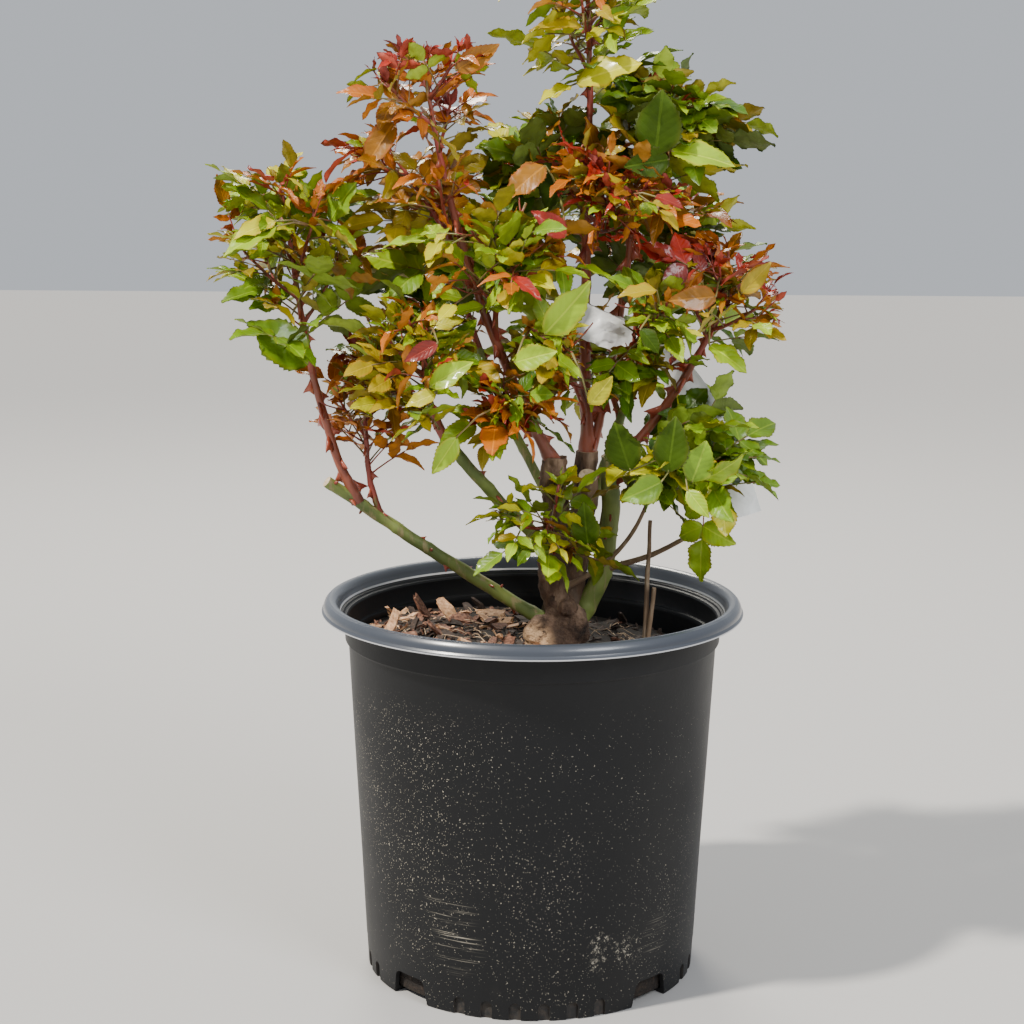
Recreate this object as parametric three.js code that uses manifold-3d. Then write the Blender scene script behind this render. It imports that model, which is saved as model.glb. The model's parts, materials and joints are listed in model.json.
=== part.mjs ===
// A young rose bush in the nursery pot that it is sold in.
// Millimetres, +Z up, the front along -Y. The origin is the middle of the pot's flat underside.
import * as THREE from "three";
import { mergeVertices } from "three/addons/utils/BufferGeometryUtils.js";
import Module from "manifold-3d";

const wasm = await Module();
wasm.setup();

const UP = new THREE.Vector3(0, 0, 1);
const GAP = 0.3; // clearance between neighbouring pieces

// The pot: a thin wall that widens upwards, a band under the rolled rim, dents and drain notches at the foot.
const RIM_RADIUS = 140;
const POT_HEIGHT = 252.5;
const FOOT_RADIUS = 110.5;
const WALL_TOP_RADIUS = 122.5;
const BAND_BOTTOM = 225;
const BAND_TOP = 242;
const BAND_RADIUS = 124.5;
const WALL = 2.2;
const FLOOR = 3;
const DENTED_WALL = 4; // the wall is thicker at the foot, where the dents are pressed in
const DENTED_HEIGHT = 16;
const DENT = { width: 8.4, height: 12.5, depth: 1.8, pitch: 9.6, perQuarter: 6, arc: 2 };
const NOTCH = { halfAngle: 8.5, height: 17, depth: 14, taper: 3 };
const POT_SIDES = 36;

// The potting soil, filled to a little under the rim and higher on the left.
const SOIL = { level: 216, dome: 4, tilt: 8, radius: 118.7, rings: 3, sides: 20 };

// Leaves. Each compound leaf is one blade of eight faces, in shares of its length.
const LEAF = {
  root: -0.01, // sunk into the stem
  ridge: 0.32, // the thickest place
  widest: 0.56,
  halfWidth: 0.31,
  droop: 0.16,
  thickness: 1.4, // in millimetres
};
const TRIES = 8; // turns tried for a leaf that would touch something, each a little smaller
const SHRINK = 0.05;
const LEAF_SPACING = 4; // between any of the points that stand for two leaves
const LEAF_CLEARANCE = 1.2; // between a leaf and any limb that is not its own
const SIMPLIFY = 0.02; // slivers thinner than this, left where leaves are fused on, are dropped
const SPACE_MARGIN = 0.04; // share of a mass's space that stays empty along its neighbours
const GOLDEN_TURN = THREE.MathUtils.degToRad(137.5);

const COLOURS = {
  pot: 0x1d1f22,
  soil: 0x33241b,
  bark: 0x6d5440,
  greenCane: 0x5d6b34,
  redCane: 0x6b2f26,
  dryTwig: 0x8a6f52,
  label: 0xe9e9e6,
  green: 0x5f7a24,
  darkGreen: 0x3f5a23,
  bronze: 0x9a5a22,
  crimson: 0xa23124,
};

// Woody limbs in the order they branch: each starts on an earlier one (or in the soil) at the
// share `at` of its length, and runs to its tip, bowed sideways at half way.
const LIMBS = [
  {
    name: "cane_back", on: "trunk", at: 0.16,
    tip: [36, 22, 347], bow: [8, 12, -44], radii: [8.6, 7.4], bark: "bark",
  },
  {
    name: "cane_green", on: "trunk", at: 0.08,
    tip: [51, 8, 346], bow: [22, 14, -50], radii: [7.2, 6], bark: "greenCane",
  },
  {
    name: "cane_left", on: "trunk", at: 0.1,
    tip: [-135, -14, 331], bow: [2, 26, -10], radii: [4.6, 3.7], bark: "greenCane",
  },
  {
    name: "cane_left_mid", on: "trunk", at: 0.5,
    tip: [-55, -34, 361], bow: [-2, 0, -4], radii: [4.6, 3.5], bark: "greenCane",
  },
  {
    name: "shoot_left", on: "cane_left", at: 0.86,
    tip: [-143, -18, 403], bow: [-7, 0, 2], radii: [3.3, 2.3], bark: "redCane",
  },
  {
    name: "cane_centre", on: "cane_back", at: 0.97,
    tip: [34, 0, 567], bow: [-3, 4, -10], radii: [4.4, 2.2], bark: "redCane",
  },
  {
    name: "cane_left_centre", on: "trunk", at: 0.96,
    tip: [-50, -28, 500], bow: [-9, -2, -6], radii: [3.8, 2.3], bark: "redCane",
  },
  {
    name: "cane_right", on: "cane_green", at: 0.93,
    tip: [104, -10, 412], bow: [2, 2, -8], radii: [3.3, 2.4], bark: "redCane",
  },
  {
    name: "cane_right_top", on: "cane_back", at: 0.9,
    tip: [64, 22, 508], bow: [8, 6, -6], radii: [3.2, 2], bark: "redCane",
  },
  {
    name: "cane_rear_left", on: "cane_back", at: 0.45,
    tip: [-38, 72, 410], bow: [-4, 10, -12], radii: [3.8, 2.5], bark: "greenCane",
  },
  {
    name: "cane_rear_right", on: "cane_back", at: 0.6,
    tip: [78, 80, 420], bow: [2, 8, -12], radii: [3.8, 2.5], bark: "greenCane",
  },
  {
    name: "stub_pale", on: "cane_back", at: 0.7,
    tip: [36, -2, 334], bow: [0, 0, -2], radii: [6.4, 6], bark: "dryTwig",
  },
  {
    name: "twig_arched", on: "trunk", at: 0.3,
    tip: [74, -18, 318], bow: [12, -4, -14], radii: [2, 1.2], bark: "dryTwig",
  },
  {
    name: "stick_dry", foot: [75, -12, 204],
    tip: [77, -10, 306], bow: [-1, 0, 0], radii: [1.9, 1.3], bark: "dryTwig",
  },
  {
    name: "twig_short", on: "cane_green", at: 0.42,
    tip: [106, -10, 298], bow: [-2, 0, -8], radii: [2.2, 1.4], bark: "dryTwig",
  },
];
const TRUNK = { foot: [17, 0], tip: [14, -4, 347], bow: [-2, 0, 0], radii: [9.6, 8] };
const BURL = [
  { at: [14, -2, 224], size: [19, 17, 17] },
  { at: [4, -9, 228], size: [10, 10, 11] },
  { at: [26, -4, 234], size: [12, 11, 14] },
];
const BURL_SIDES = 8;
const BURL_RINGS = 5;
const LIMB_SIDES = 8;
const LIMB_STEP = 36; // length of a limb between two rings

// The plain white label: a loop round the tall cane and a strip that hangs from it.
const LABEL = {
  width: 19,
  thickness: 0.8,
  loop: { centre: [44, 12, 430], half: [18, 11], sides: 6 },
  tail: { drop: 10, tip: [143, 306], bow: [8, 44], steps: 6 },
};

// Masses of foliage. Each grows from the tip or the side of a limb and keeps inside an egg-shaped
// space round its stem: `girth` is the space's half width and `drop` how far it reaches below the
// stem's foot.
const MASSES = [
  {
    name: "foliage_left", on: "shoot_left", tip: [-161, -24, 524], girth: 62, drop: 10,
    shoots: 5, leaf: 46, colour: "green", seed: 11,
  },
  {
    name: "foliage_left_low", on: "cane_left", at: 0.72, tip: [-110, -6, 418], girth: 42, drop: -14,
    shoots: 3, leaf: 36, colour: "bronze", seed: 12,
  },
  {
    name: "foliage_left_mid", on: "cane_left_mid", tip: [-66, -52, 440], girth: 60, drop: 22,
    shoots: 6, leaf: 44, colour: "green", seed: 13,
  },
  {
    name: "foliage_left_upper", on: "cane_left_centre", at: 0.74, tip: [-98, -10, 552], girth: 50, drop: 0,
    shoots: 3, leaf: 40, colour: "bronze", seed: 32,
  },
  {
    name: "foliage_left_top", on: "cane_left_centre", tip: [-70, -32, 600], girth: 52, drop: -26,
    shoots: 4, leaf: 38, colour: "crimson", seed: 15,
  },
  {
    name: "foliage_inner_left", on: "cane_left_centre", at: 0.5, tip: [-14, -66, 500], girth: 60, drop: 12,
    shoots: 6, leaf: 46, colour: "green", seed: 16,
  },
  {
    name: "foliage_inner_low", on: "cane_left_centre", at: 0.14, tip: [-30, -74, 402], girth: 54, drop: 12,
    shoots: 4, leaf: 44, colour: "green", seed: 29,
  },
  {
    name: "foliage_inner_right", on: "cane_centre", at: 0.1, tip: [-2, -76, 438], girth: 50, drop: 14,
    shoots: 5, leaf: 44, colour: "green", seed: 17,
  },
  {
    name: "foliage_top", on: "cane_centre", tip: [31, 0, 660], girth: 56, drop: 8,
    shoots: 4, leaf: 44, colour: "green", seed: 18,
  },
  {
    name: "foliage_red", on: "cane_centre", at: 0.6, tip: [56, -40, 530], girth: 60, drop: 12,
    shoots: 6, leaf: 42, colour: "crimson", seed: 19,
  },
  {
    name: "foliage_upper_back", on: "cane_centre", at: 0.68, tip: [8, 50, 550], girth: 56, drop: 8,
    shoots: 4, leaf: 46, colour: "darkGreen", seed: 20,
  },
  {
    name: "foliage_right_top", on: "cane_right_top", tip: [88, 10, 578], girth: 58, drop: 6,
    shoots: 4, leaf: 48, colour: "darkGreen", seed: 21,
  },
  {
    name: "foliage_right", on: "cane_right", tip: [132, -18, 468], girth: 60, drop: 18,
    shoots: 6, leaf: 42, colour: "bronze", seed: 22,
  },
  {
    name: "foliage_right_mid", on: "cane_right_top", at: 0.2, tip: [84, -48, 452], girth: 56, drop: 8,
    shoots: 5, leaf: 44, colour: "darkGreen", seed: 23,
  },
  {
    name: "foliage_right_low", on: "cane_green", at: 0.8, tip: [122, -50, 352], girth: 56, drop: -2,
    shoots: 5, leaf: 46, colour: "green", seed: 24,
  },
  {
    name: "foliage_low", on: "trunk", at: 0.42, tip: [8, -56, 316], girth: 48, drop: 4,
    shoots: 3, leaf: 38, colour: "green", seed: 25,
  },
  {
    name: "foliage_rear_left", on: "cane_rear_left", tip: [-54, 84, 494], girth: 72, drop: 30,
    shoots: 5, leaf: 50, colour: "darkGreen", seed: 26,
  },
  {
    name: "foliage_rear_right", on: "cane_rear_right", tip: [86, 92, 502], girth: 72, drop: 30,
    shoots: 5, leaf: 50, colour: "darkGreen", seed: 27,
  },
  {
    name: "foliage_rear", on: "cane_rear_right", at: 0.5, tip: [18, 98, 436], girth: 62, drop: 14,
    shoots: 3, leaf: 50, colour: "darkGreen", seed: 28,
  },
];
// Stems, in millimetres across and in shares of their length: `straight` is how far one runs on in its
// parent's direction, and `bare` where its leaves begin.
const STEM = { sides: 4, steps: 3, tip: 0.9 };
const LEADER = { straight: 0.45, bare: 0.1 }; // a stem that goes on from a limb's tip
const BRANCH = { straight: 0.2, bare: 0.3, foot: 2.2 }; // a stem on the side of a limb
const SHOOT = {
  sides: 3,
  steps: 2,
  foot: 1.3,
  tip: 0.8,
  angle: 52,
  lift: 0.25,
  lowest: 0.2,
  highest: 0.85,
  spacing: 14,
  bare: 0.25,
  shortest: 0.55, // in shares of the space's half width
  longest: 0.8,
  atFoot: 1.15, // and shoots shorten towards the tip of the stem
  shortening: 0.45,
};
const INTERNODE = 12; // along a stem or shoot, from one leaf to the next
const LAST_NODE = 0.98; // the topmost leaf sits just under the twig's tip
const LEAF_ANGLE = 62; // between a leaf and its stem, in degrees
const LAST_ANGLE = 0.4; // the topmost leaf points on along the twig
const LEAF_SIZE = { least: 0.85, most: 1.1, atFoot: 1.08, shrinking: 0.35, onShoots: 0.85 };
const LEAF_ROLL = 1.1; // most that a leaf is rolled about its own rib, in radians

// Numbers from 0 to 1 in a fixed order that only the seed sets.
class Dice {
  constructor(seed) {
    this.state = seed * 7919 + 1;
  }
  roll() {
    this.state = (this.state * 48271) % 2147483647;
    return this.state / 2147483647;
  }
  between(low, high) {
    return low + (high - low) * this.roll();
  }
}

const vector = (list) => new THREE.Vector3(...list);

// A closed mesh as a solid, and back.
function solidOf(geometry) {
  const bare = geometry.clone();
  bare.deleteAttribute("normal");
  bare.deleteAttribute("uv");
  const merged = mergeVertices(bare, 1e-4);
  return new wasm.Manifold(
    new wasm.Mesh({
      numProp: 3,
      vertProperties: merged.attributes.position.array,
      triVerts: new Uint32Array(merged.index.array),
    }),
  );
}

function geometryOf(solid) {
  const mesh = solid.getMesh();
  const geometry = new THREE.BufferGeometry();
  geometry.setAttribute("position", new THREE.BufferAttribute(mesh.vertProperties, 3));
  geometry.setIndex(new THREE.BufferAttribute(mesh.triVerts, 1));
  const flat = geometry.toNonIndexed();
  flat.computeVertexNormals();
  return flat;
}

const join = (solids) => solids.reduce((whole, piece) => whole.add(piece));

// The largest body of a solid: loose scraps and sealed hollows are bodies of their own, and go.
function largest(solid) {
  return solid.decompose().reduce((best, body) => (body.volume() > best.volume() ? body : best));
}

// A tapering limb along a curve. `grown` widens and lengthens it, which makes the room that a
// neighbour leaves free.
function taperedLimb(curve, footRadius, tipRadius, sides, steps, grown = 0) {
  const geometry = new THREE.CylinderGeometry(tipRadius + grown, footRadius + grown, 1, sides, steps);
  const frames = curve.computeFrenetFrames(steps);
  const positions = geometry.attributes.position;
  const vertex = new THREE.Vector3();
  for (let i = 0; i < positions.count; i++) {
    vertex.fromBufferAttribute(positions, i);
    const ring = Math.round((vertex.y + 0.5) * steps);
    const place = curve.getPointAt(ring / steps);
    const overshoot = ring === 0 ? -grown : ring === steps ? grown : 0;
    place.addScaledVector(frames.tangents[ring], overshoot);
    place.addScaledVector(frames.normals[ring], vertex.x);
    place.addScaledVector(frames.binormals[ring], -vertex.z);
    positions.setXYZ(i, place.x, place.y, place.z);
  }
  return solidOf(geometry);
}

// A limb as a curve with a radius at every share of its length.
class Limb {
  constructor(foot, tip, bow, radii) {
    const middle = foot.clone().lerp(tip, 0.5).add(bow);
    this.curve = new THREE.QuadraticBezierCurve3(foot, middle, tip);
    this.radii = radii;
    this.steps = Math.max(2, Math.round(this.curve.getLength() / LIMB_STEP));
    this.points = this.curve.getSpacedPoints(this.steps);
  }
  radiusAt(share) {
    return THREE.MathUtils.lerp(this.radii[0], this.radii[1], share);
  }
  solid(grown = 0) {
    return taperedLimb(this.curve, this.radii[0], this.radii[1], LIMB_SIDES, this.steps, grown);
  }
  // How far a point is from the limb's surface.
  distanceTo(point) {
    let least = Infinity;
    const segment = new THREE.Line3();
    const nearest = new THREE.Vector3();
    for (let i = 0; i < this.steps; i++) {
      segment.set(this.points[i], this.points[i + 1]);
      const share = segment.closestPointToPointParameter(point, true);
      segment.at(share, nearest);
      least = Math.min(least, nearest.distanceTo(point) - this.radiusAt((i + share) / this.steps));
    }
    return least;
  }
}

function soilHeight(x, y) {
  const reach = Math.hypot(x, y) / SOIL.radius;
  return SOIL.level + SOIL.dome * (1 - reach * reach) - (SOIL.tilt * x) / SOIL.radius;
}

// Pot
function potProfile() {
  const wallRadius = (z) => FOOT_RADIUS + ((WALL_TOP_RADIUS - FOOT_RADIUS) * z) / BAND_BOTTOM;
  const outside = [
    [0, 0],
    [FOOT_RADIUS, 0],
    [WALL_TOP_RADIUS, BAND_BOTTOM],
    [BAND_RADIUS, BAND_BOTTOM + 1],
    [BAND_RADIUS + 0.7, BAND_TOP],
    [RIM_RADIUS, BAND_TOP + 1.4],
    [RIM_RADIUS - 1.6, BAND_TOP + 3.4],
    [RIM_RADIUS - 2.6, POT_HEIGHT - 2],
  ];
  const inside = [
    [RIM_RADIUS - 6, POT_HEIGHT],
    [RIM_RADIUS - 11, POT_HEIGHT - 2.6],
    [BAND_RADIUS - WALL + 0.4, BAND_TOP - 2],
    [BAND_RADIUS - WALL, BAND_BOTTOM + 2],
    [WALL_TOP_RADIUS - WALL, BAND_BOTTOM],
    [wallRadius(DENTED_HEIGHT + 4) - WALL, DENTED_HEIGHT + 4],
    [wallRadius(FLOOR) - DENTED_WALL, FLOOR],
    [0, FLOOR],
  ];
  return [...outside, ...inside].map(([r, z]) => new THREE.Vector2(r, z));
}

// A cutter that stands at the foot, its outline drawn across X and up Z, reaching inwards along -Y.
function footCutter(outline, depth, angle) {
  const overhang = 3;
  const geometry = new THREE.ExtrudeGeometry(outline, {
    depth: depth + overhang,
    bevelEnabled: false,
    curveSegments: DENT.arc,
  });
  geometry.rotateX(Math.PI / 2);
  geometry.translate(0, FOOT_RADIUS + overhang, 0);
  geometry.rotateZ(angle);
  return solidOf(geometry);
}

function dentOutline() {
  const { width, height } = DENT;
  const shape = new THREE.Shape();
  shape.moveTo(-width / 2, -1);
  shape.lineTo(width / 2, -1);
  shape.lineTo(width / 2, height - width / 2);
  shape.absarc(0, height - width / 2, width / 2, 0, Math.PI, false);
  return shape;
}

function notchOutline() {
  const half = FOOT_RADIUS * Math.sin(THREE.MathUtils.degToRad(NOTCH.halfAngle));
  const shape = new THREE.Shape();
  shape.moveTo(-half, -1);
  shape.lineTo(half, -1);
  shape.lineTo(half - NOTCH.taper, NOTCH.height);
  shape.lineTo(NOTCH.taper - half, NOTCH.height);
  return shape;
}

function makePot() {
  const lathe = new THREE.LatheGeometry(potProfile(), POT_SIDES);
  lathe.rotateX(Math.PI / 2);
  let pot = solidOf(lathe);
  for (let quarter = 0; quarter < 4; quarter++) {
    const middle = (quarter * Math.PI) / 2;
    for (let i = 0; i < DENT.perQuarter; i++) {
      const turn = (i - (DENT.perQuarter - 1) / 2) * DENT.pitch;
      const angle = middle + THREE.MathUtils.degToRad(turn);
      pot = pot.subtract(footCutter(dentOutline(), DENT.depth, angle));
    }
    pot = pot.subtract(footCutter(notchOutline(), NOTCH.depth, middle + Math.PI / 4));
  }
  return pot;
}

// Soil, cut clear of the pot's wall and of every limb that rises out of it.
function makeSoil(limbs) {
  const wall = FOOT_RADIUS - DENTED_WALL - 2 * GAP;
  const profile = [new THREE.Vector2(0, FLOOR + GAP), new THREE.Vector2(wall, FLOOR + GAP)];
  profile.push(new THREE.Vector2(wall, DENTED_HEIGHT));
  for (let ring = SOIL.rings; ring >= 0; ring--) {
    profile.push(new THREE.Vector2((SOIL.radius * ring) / SOIL.rings, SOIL.level));
  }
  const lathe = new THREE.LatheGeometry(profile, SOIL.sides);
  lathe.rotateX(Math.PI / 2);
  const positions = lathe.attributes.position;
  for (let i = 0; i < positions.count; i++) {
    if (positions.getZ(i) < SOIL.level) continue;
    positions.setZ(i, soilHeight(positions.getX(i), positions.getY(i)));
  }
  return limbs.reduce((soil, limb) => soil.subtract(limb.solid(GAP)), solidOf(lathe));
}

// Trunk: the knobbly bud union with the old shank that rises from it, cut flat at soil level.
function burlLump({ at, size }, grown = 0) {
  const geometry = new THREE.SphereGeometry(1, BURL_SIDES, BURL_RINGS);
  geometry.scale(size[0] + grown, size[1] + grown, size[2] + grown);
  geometry.translate(...at);
  return solidOf(geometry);
}

class Trunk extends Limb {
  constructor() {
    const foot = new THREE.Vector3(...TRUNK.foot, soilHeight(...TRUNK.foot) - 1);
    super(foot, vector(TRUNK.tip), vector(TRUNK.bow), TRUNK.radii);
  }
  solid(grown = 0) {
    const aboveSoil = new THREE.BoxGeometry(RIM_RADIUS, RIM_RADIUS, POT_HEIGHT);
    aboveSoil.translate(0, 0, this.points[0].z - grown + POT_HEIGHT / 2);
    const whole = join([super.solid(grown), ...BURL.map((lump) => burlLump(lump, grown))]);
    return whole.intersect(solidOf(aboveSoil));
  }
  distanceTo(point) {
    const lumps = BURL.map(({ at, size }) => vector(at).distanceTo(point) - Math.max(...size));
    return Math.min(super.distanceTo(point), ...lumps);
  }
}

// Every limb, each cut clear of the ones before it.
function growLimbs() {
  const limbs = { trunk: new Trunk() };
  for (const row of LIMBS) {
    const foot = row.on ? limbs[row.on].curve.getPointAt(row.at) : vector(row.foot);
    limbs[row.name] = new Limb(foot, vector(row.tip), vector(row.bow), row.radii);
  }
  return limbs;
}

// Label
// The strip's middle line and its outline, drawn across X and up Z.
function labelTailOutline(start) {
  const { tip, bow, steps } = LABEL.tail;
  const end = new THREE.Vector2(...tip);
  const middle = start.clone().lerp(end, 0.5).add(new THREE.Vector2(...bow));
  const line = new THREE.QuadraticBezierCurve(start, middle, end);
  const edge = (side) =>
    Array.from({ length: steps + 1 }, (_, i) => {
      const along = line.getTangentAt(i / steps);
      const across = new THREE.Vector2(-along.y, along.x).multiplyScalar((side * LABEL.width) / 2);
      return line.getPointAt(i / steps).add(across);
    });
  return { line, shape: new THREE.Shape([...edge(1), ...edge(-1).reverse()]) };
}

function labelLoopSolid() {
  const { centre, half, sides } = LABEL.loop;
  const inner = new THREE.Path();
  inner.absellipse(0, 0, half[0], half[1], 0, 2 * Math.PI);
  const outer = new THREE.Shape();
  outer.absellipse(0, 0, half[0] + LABEL.thickness, half[1] + LABEL.thickness, 0, 2 * Math.PI);
  outer.holes.push(inner);
  const geometry = new THREE.ExtrudeGeometry(outer, {
    depth: LABEL.width,
    bevelEnabled: false,
    curveSegments: sides,
  });
  geometry.translate(centre[0], centre[1], centre[2] - LABEL.width / 2);
  return solidOf(geometry);
}

function labelTail() {
  const { centre, half } = LABEL.loop;
  const startX = centre[0] + half[0] + LABEL.thickness + GAP;
  const { line, shape } = labelTailOutline(new THREE.Vector2(startX, centre[2] - LABEL.tail.drop));
  const geometry = new THREE.ExtrudeGeometry(shape, { depth: LABEL.thickness, bevelEnabled: false });
  geometry.rotateX(Math.PI / 2);
  geometry.translate(0, centre[1] + LABEL.thickness / 2, 0);
  // Everything to the right of the loop: the strip starts square against it.
  const size = new THREE.Vector3(6, 1, 12).multiplyScalar(LABEL.width);
  const beyond = new THREE.BoxGeometry(...size);
  beyond.translate(startX + size.x / 2, centre[1], centre[2] - size.z / 3);
  return { line, solid: solidOf(geometry).intersect(solidOf(beyond)) };
}

// The label's loop and the two halves of its strip as straight limbs, for leaves to keep clear of.
function labelGuards(line) {
  const centre = vector(LABEL.loop.centre);
  const radius = LABEL.loop.half[0] + LABEL.thickness;
  const straight = (foot, tip, width) => new Limb(foot, tip, new THREE.Vector3(), [width, width]);
  const below = centre.clone().addScaledVector(UP, -LABEL.width / 4);
  const above = centre.clone().addScaledVector(UP, LABEL.width / 4);
  const [start, bend, end] = line.getSpacedPoints(2).map((p) => new THREE.Vector3(p.x, centre.y, p.y));
  return [
    straight(below, above, radius),
    straight(start, bend, LABEL.width / 2),
    straight(bend, end, LABEL.width / 2),
  ];
}

// The space that a mass keeps to: an egg round the line from its foot to its tip.
class Space {
  constructor(foot, row) {
    const tip = vector(row.tip);
    this.axis = tip.clone().sub(foot).normalize();
    const low = foot.clone().addScaledVector(this.axis, -row.drop);
    const high = tip.clone().addScaledVector(this.axis, row.leaf / 4);
    this.centre = low.clone().lerp(high, 0.5);
    this.halfLength = low.distanceTo(high) / 2;
    this.girth = row.girth;
  }
  // 0 at the middle of the space and 1 on its surface.
  depthOf(point) {
    const offset = point.clone().sub(this.centre);
    const along = offset.dot(this.axis);
    const across = Math.sqrt(Math.max(0, offset.lengthSq() - along * along));
    return Math.hypot(along / this.halfLength, across / this.girth);
  }
}

// A compound leaf: where it starts, which way it points, how long it is and how it is rolled.
class Leaf {
  constructor(foot, direction, length, roll) {
    const level = UP.clone().addScaledVector(direction, -direction.z).normalize();
    this.normal = level.applyAxisAngle(direction, roll);
    this.side = direction.clone().cross(this.normal);
    this.foot = foot;
    this.direction = direction;
    this.length = length;
    this.middle = this.at(LEAF.widest, 0);
    this.samples = this.spread();
  }
  // Whether another leaf comes so close that the two would touch.
  isNear(other) {
    if (this.middle.distanceTo(other.middle) > this.length + other.length) return false;
    return this.samples.some((point) => other.samples.some((its) => its.distanceTo(point) < LEAF_SPACING));
  }
  // A point of the leaf, in shares of its length along and across, and in millimetres above it.
  at(along, across, above = 0) {
    const point = this.foot.clone().addScaledVector(this.direction, along * this.length);
    point.addScaledVector(this.side, across * this.length);
    point.addScaledVector(this.normal, above);
    return point.addScaledVector(UP, -LEAF.droop * along * along * this.length);
  }
  // Points spread over the leaf, to test what it would touch.
  spread() {
    const half = LEAF.halfWidth;
    const rib = [0.25, 0.4, LEAF.widest, 0.8, 1].map((along) => this.at(along, 0));
    const edge = [-1, -0.5, 0.5, 1].map((share) => this.at(LEAF.widest, half * share));
    const quarters = [-0.5, 0.5].flatMap((share) =>
      [0.3, 0.78].map((along) => this.at(along, half * share)),
    );
    return [...rib, ...edge, ...quarters];
  }
  solid() {
    const { root, ridge, widest, halfWidth, thickness } = LEAF;
    const corners = [
      this.at(root, 0),
      this.at(widest, halfWidth),
      this.at(1, 0),
      this.at(widest, -halfWidth),
      this.at(ridge, 0, thickness / 2),
      this.at(ridge, 0, -thickness / 2),
    ];
    const faces = [0, 1, 4, 1, 2, 4, 2, 3, 4, 3, 0, 4, 1, 0, 5, 2, 1, 5, 3, 2, 5, 0, 3, 5];
    const geometry = new THREE.BufferGeometry();
    const positions = corners.flatMap((corner) => corner.toArray());
    geometry.setAttribute("position", new THREE.Float32BufferAttribute(positions, 3));
    geometry.setIndex(faces);
    return solidOf(geometry);
  }
}

// A direction at the given angle from an axis, turned round it.
function directionRound(axis, angle, turn) {
  const reference = Math.abs(axis.z) < 0.9 ? UP : new THREE.Vector3(1, 0, 0);
  const across = reference.clone().cross(axis).normalize().applyAxisAngle(axis, turn);
  return axis.clone().multiplyScalar(Math.cos(angle)).addScaledVector(across, Math.sin(angle));
}

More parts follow.
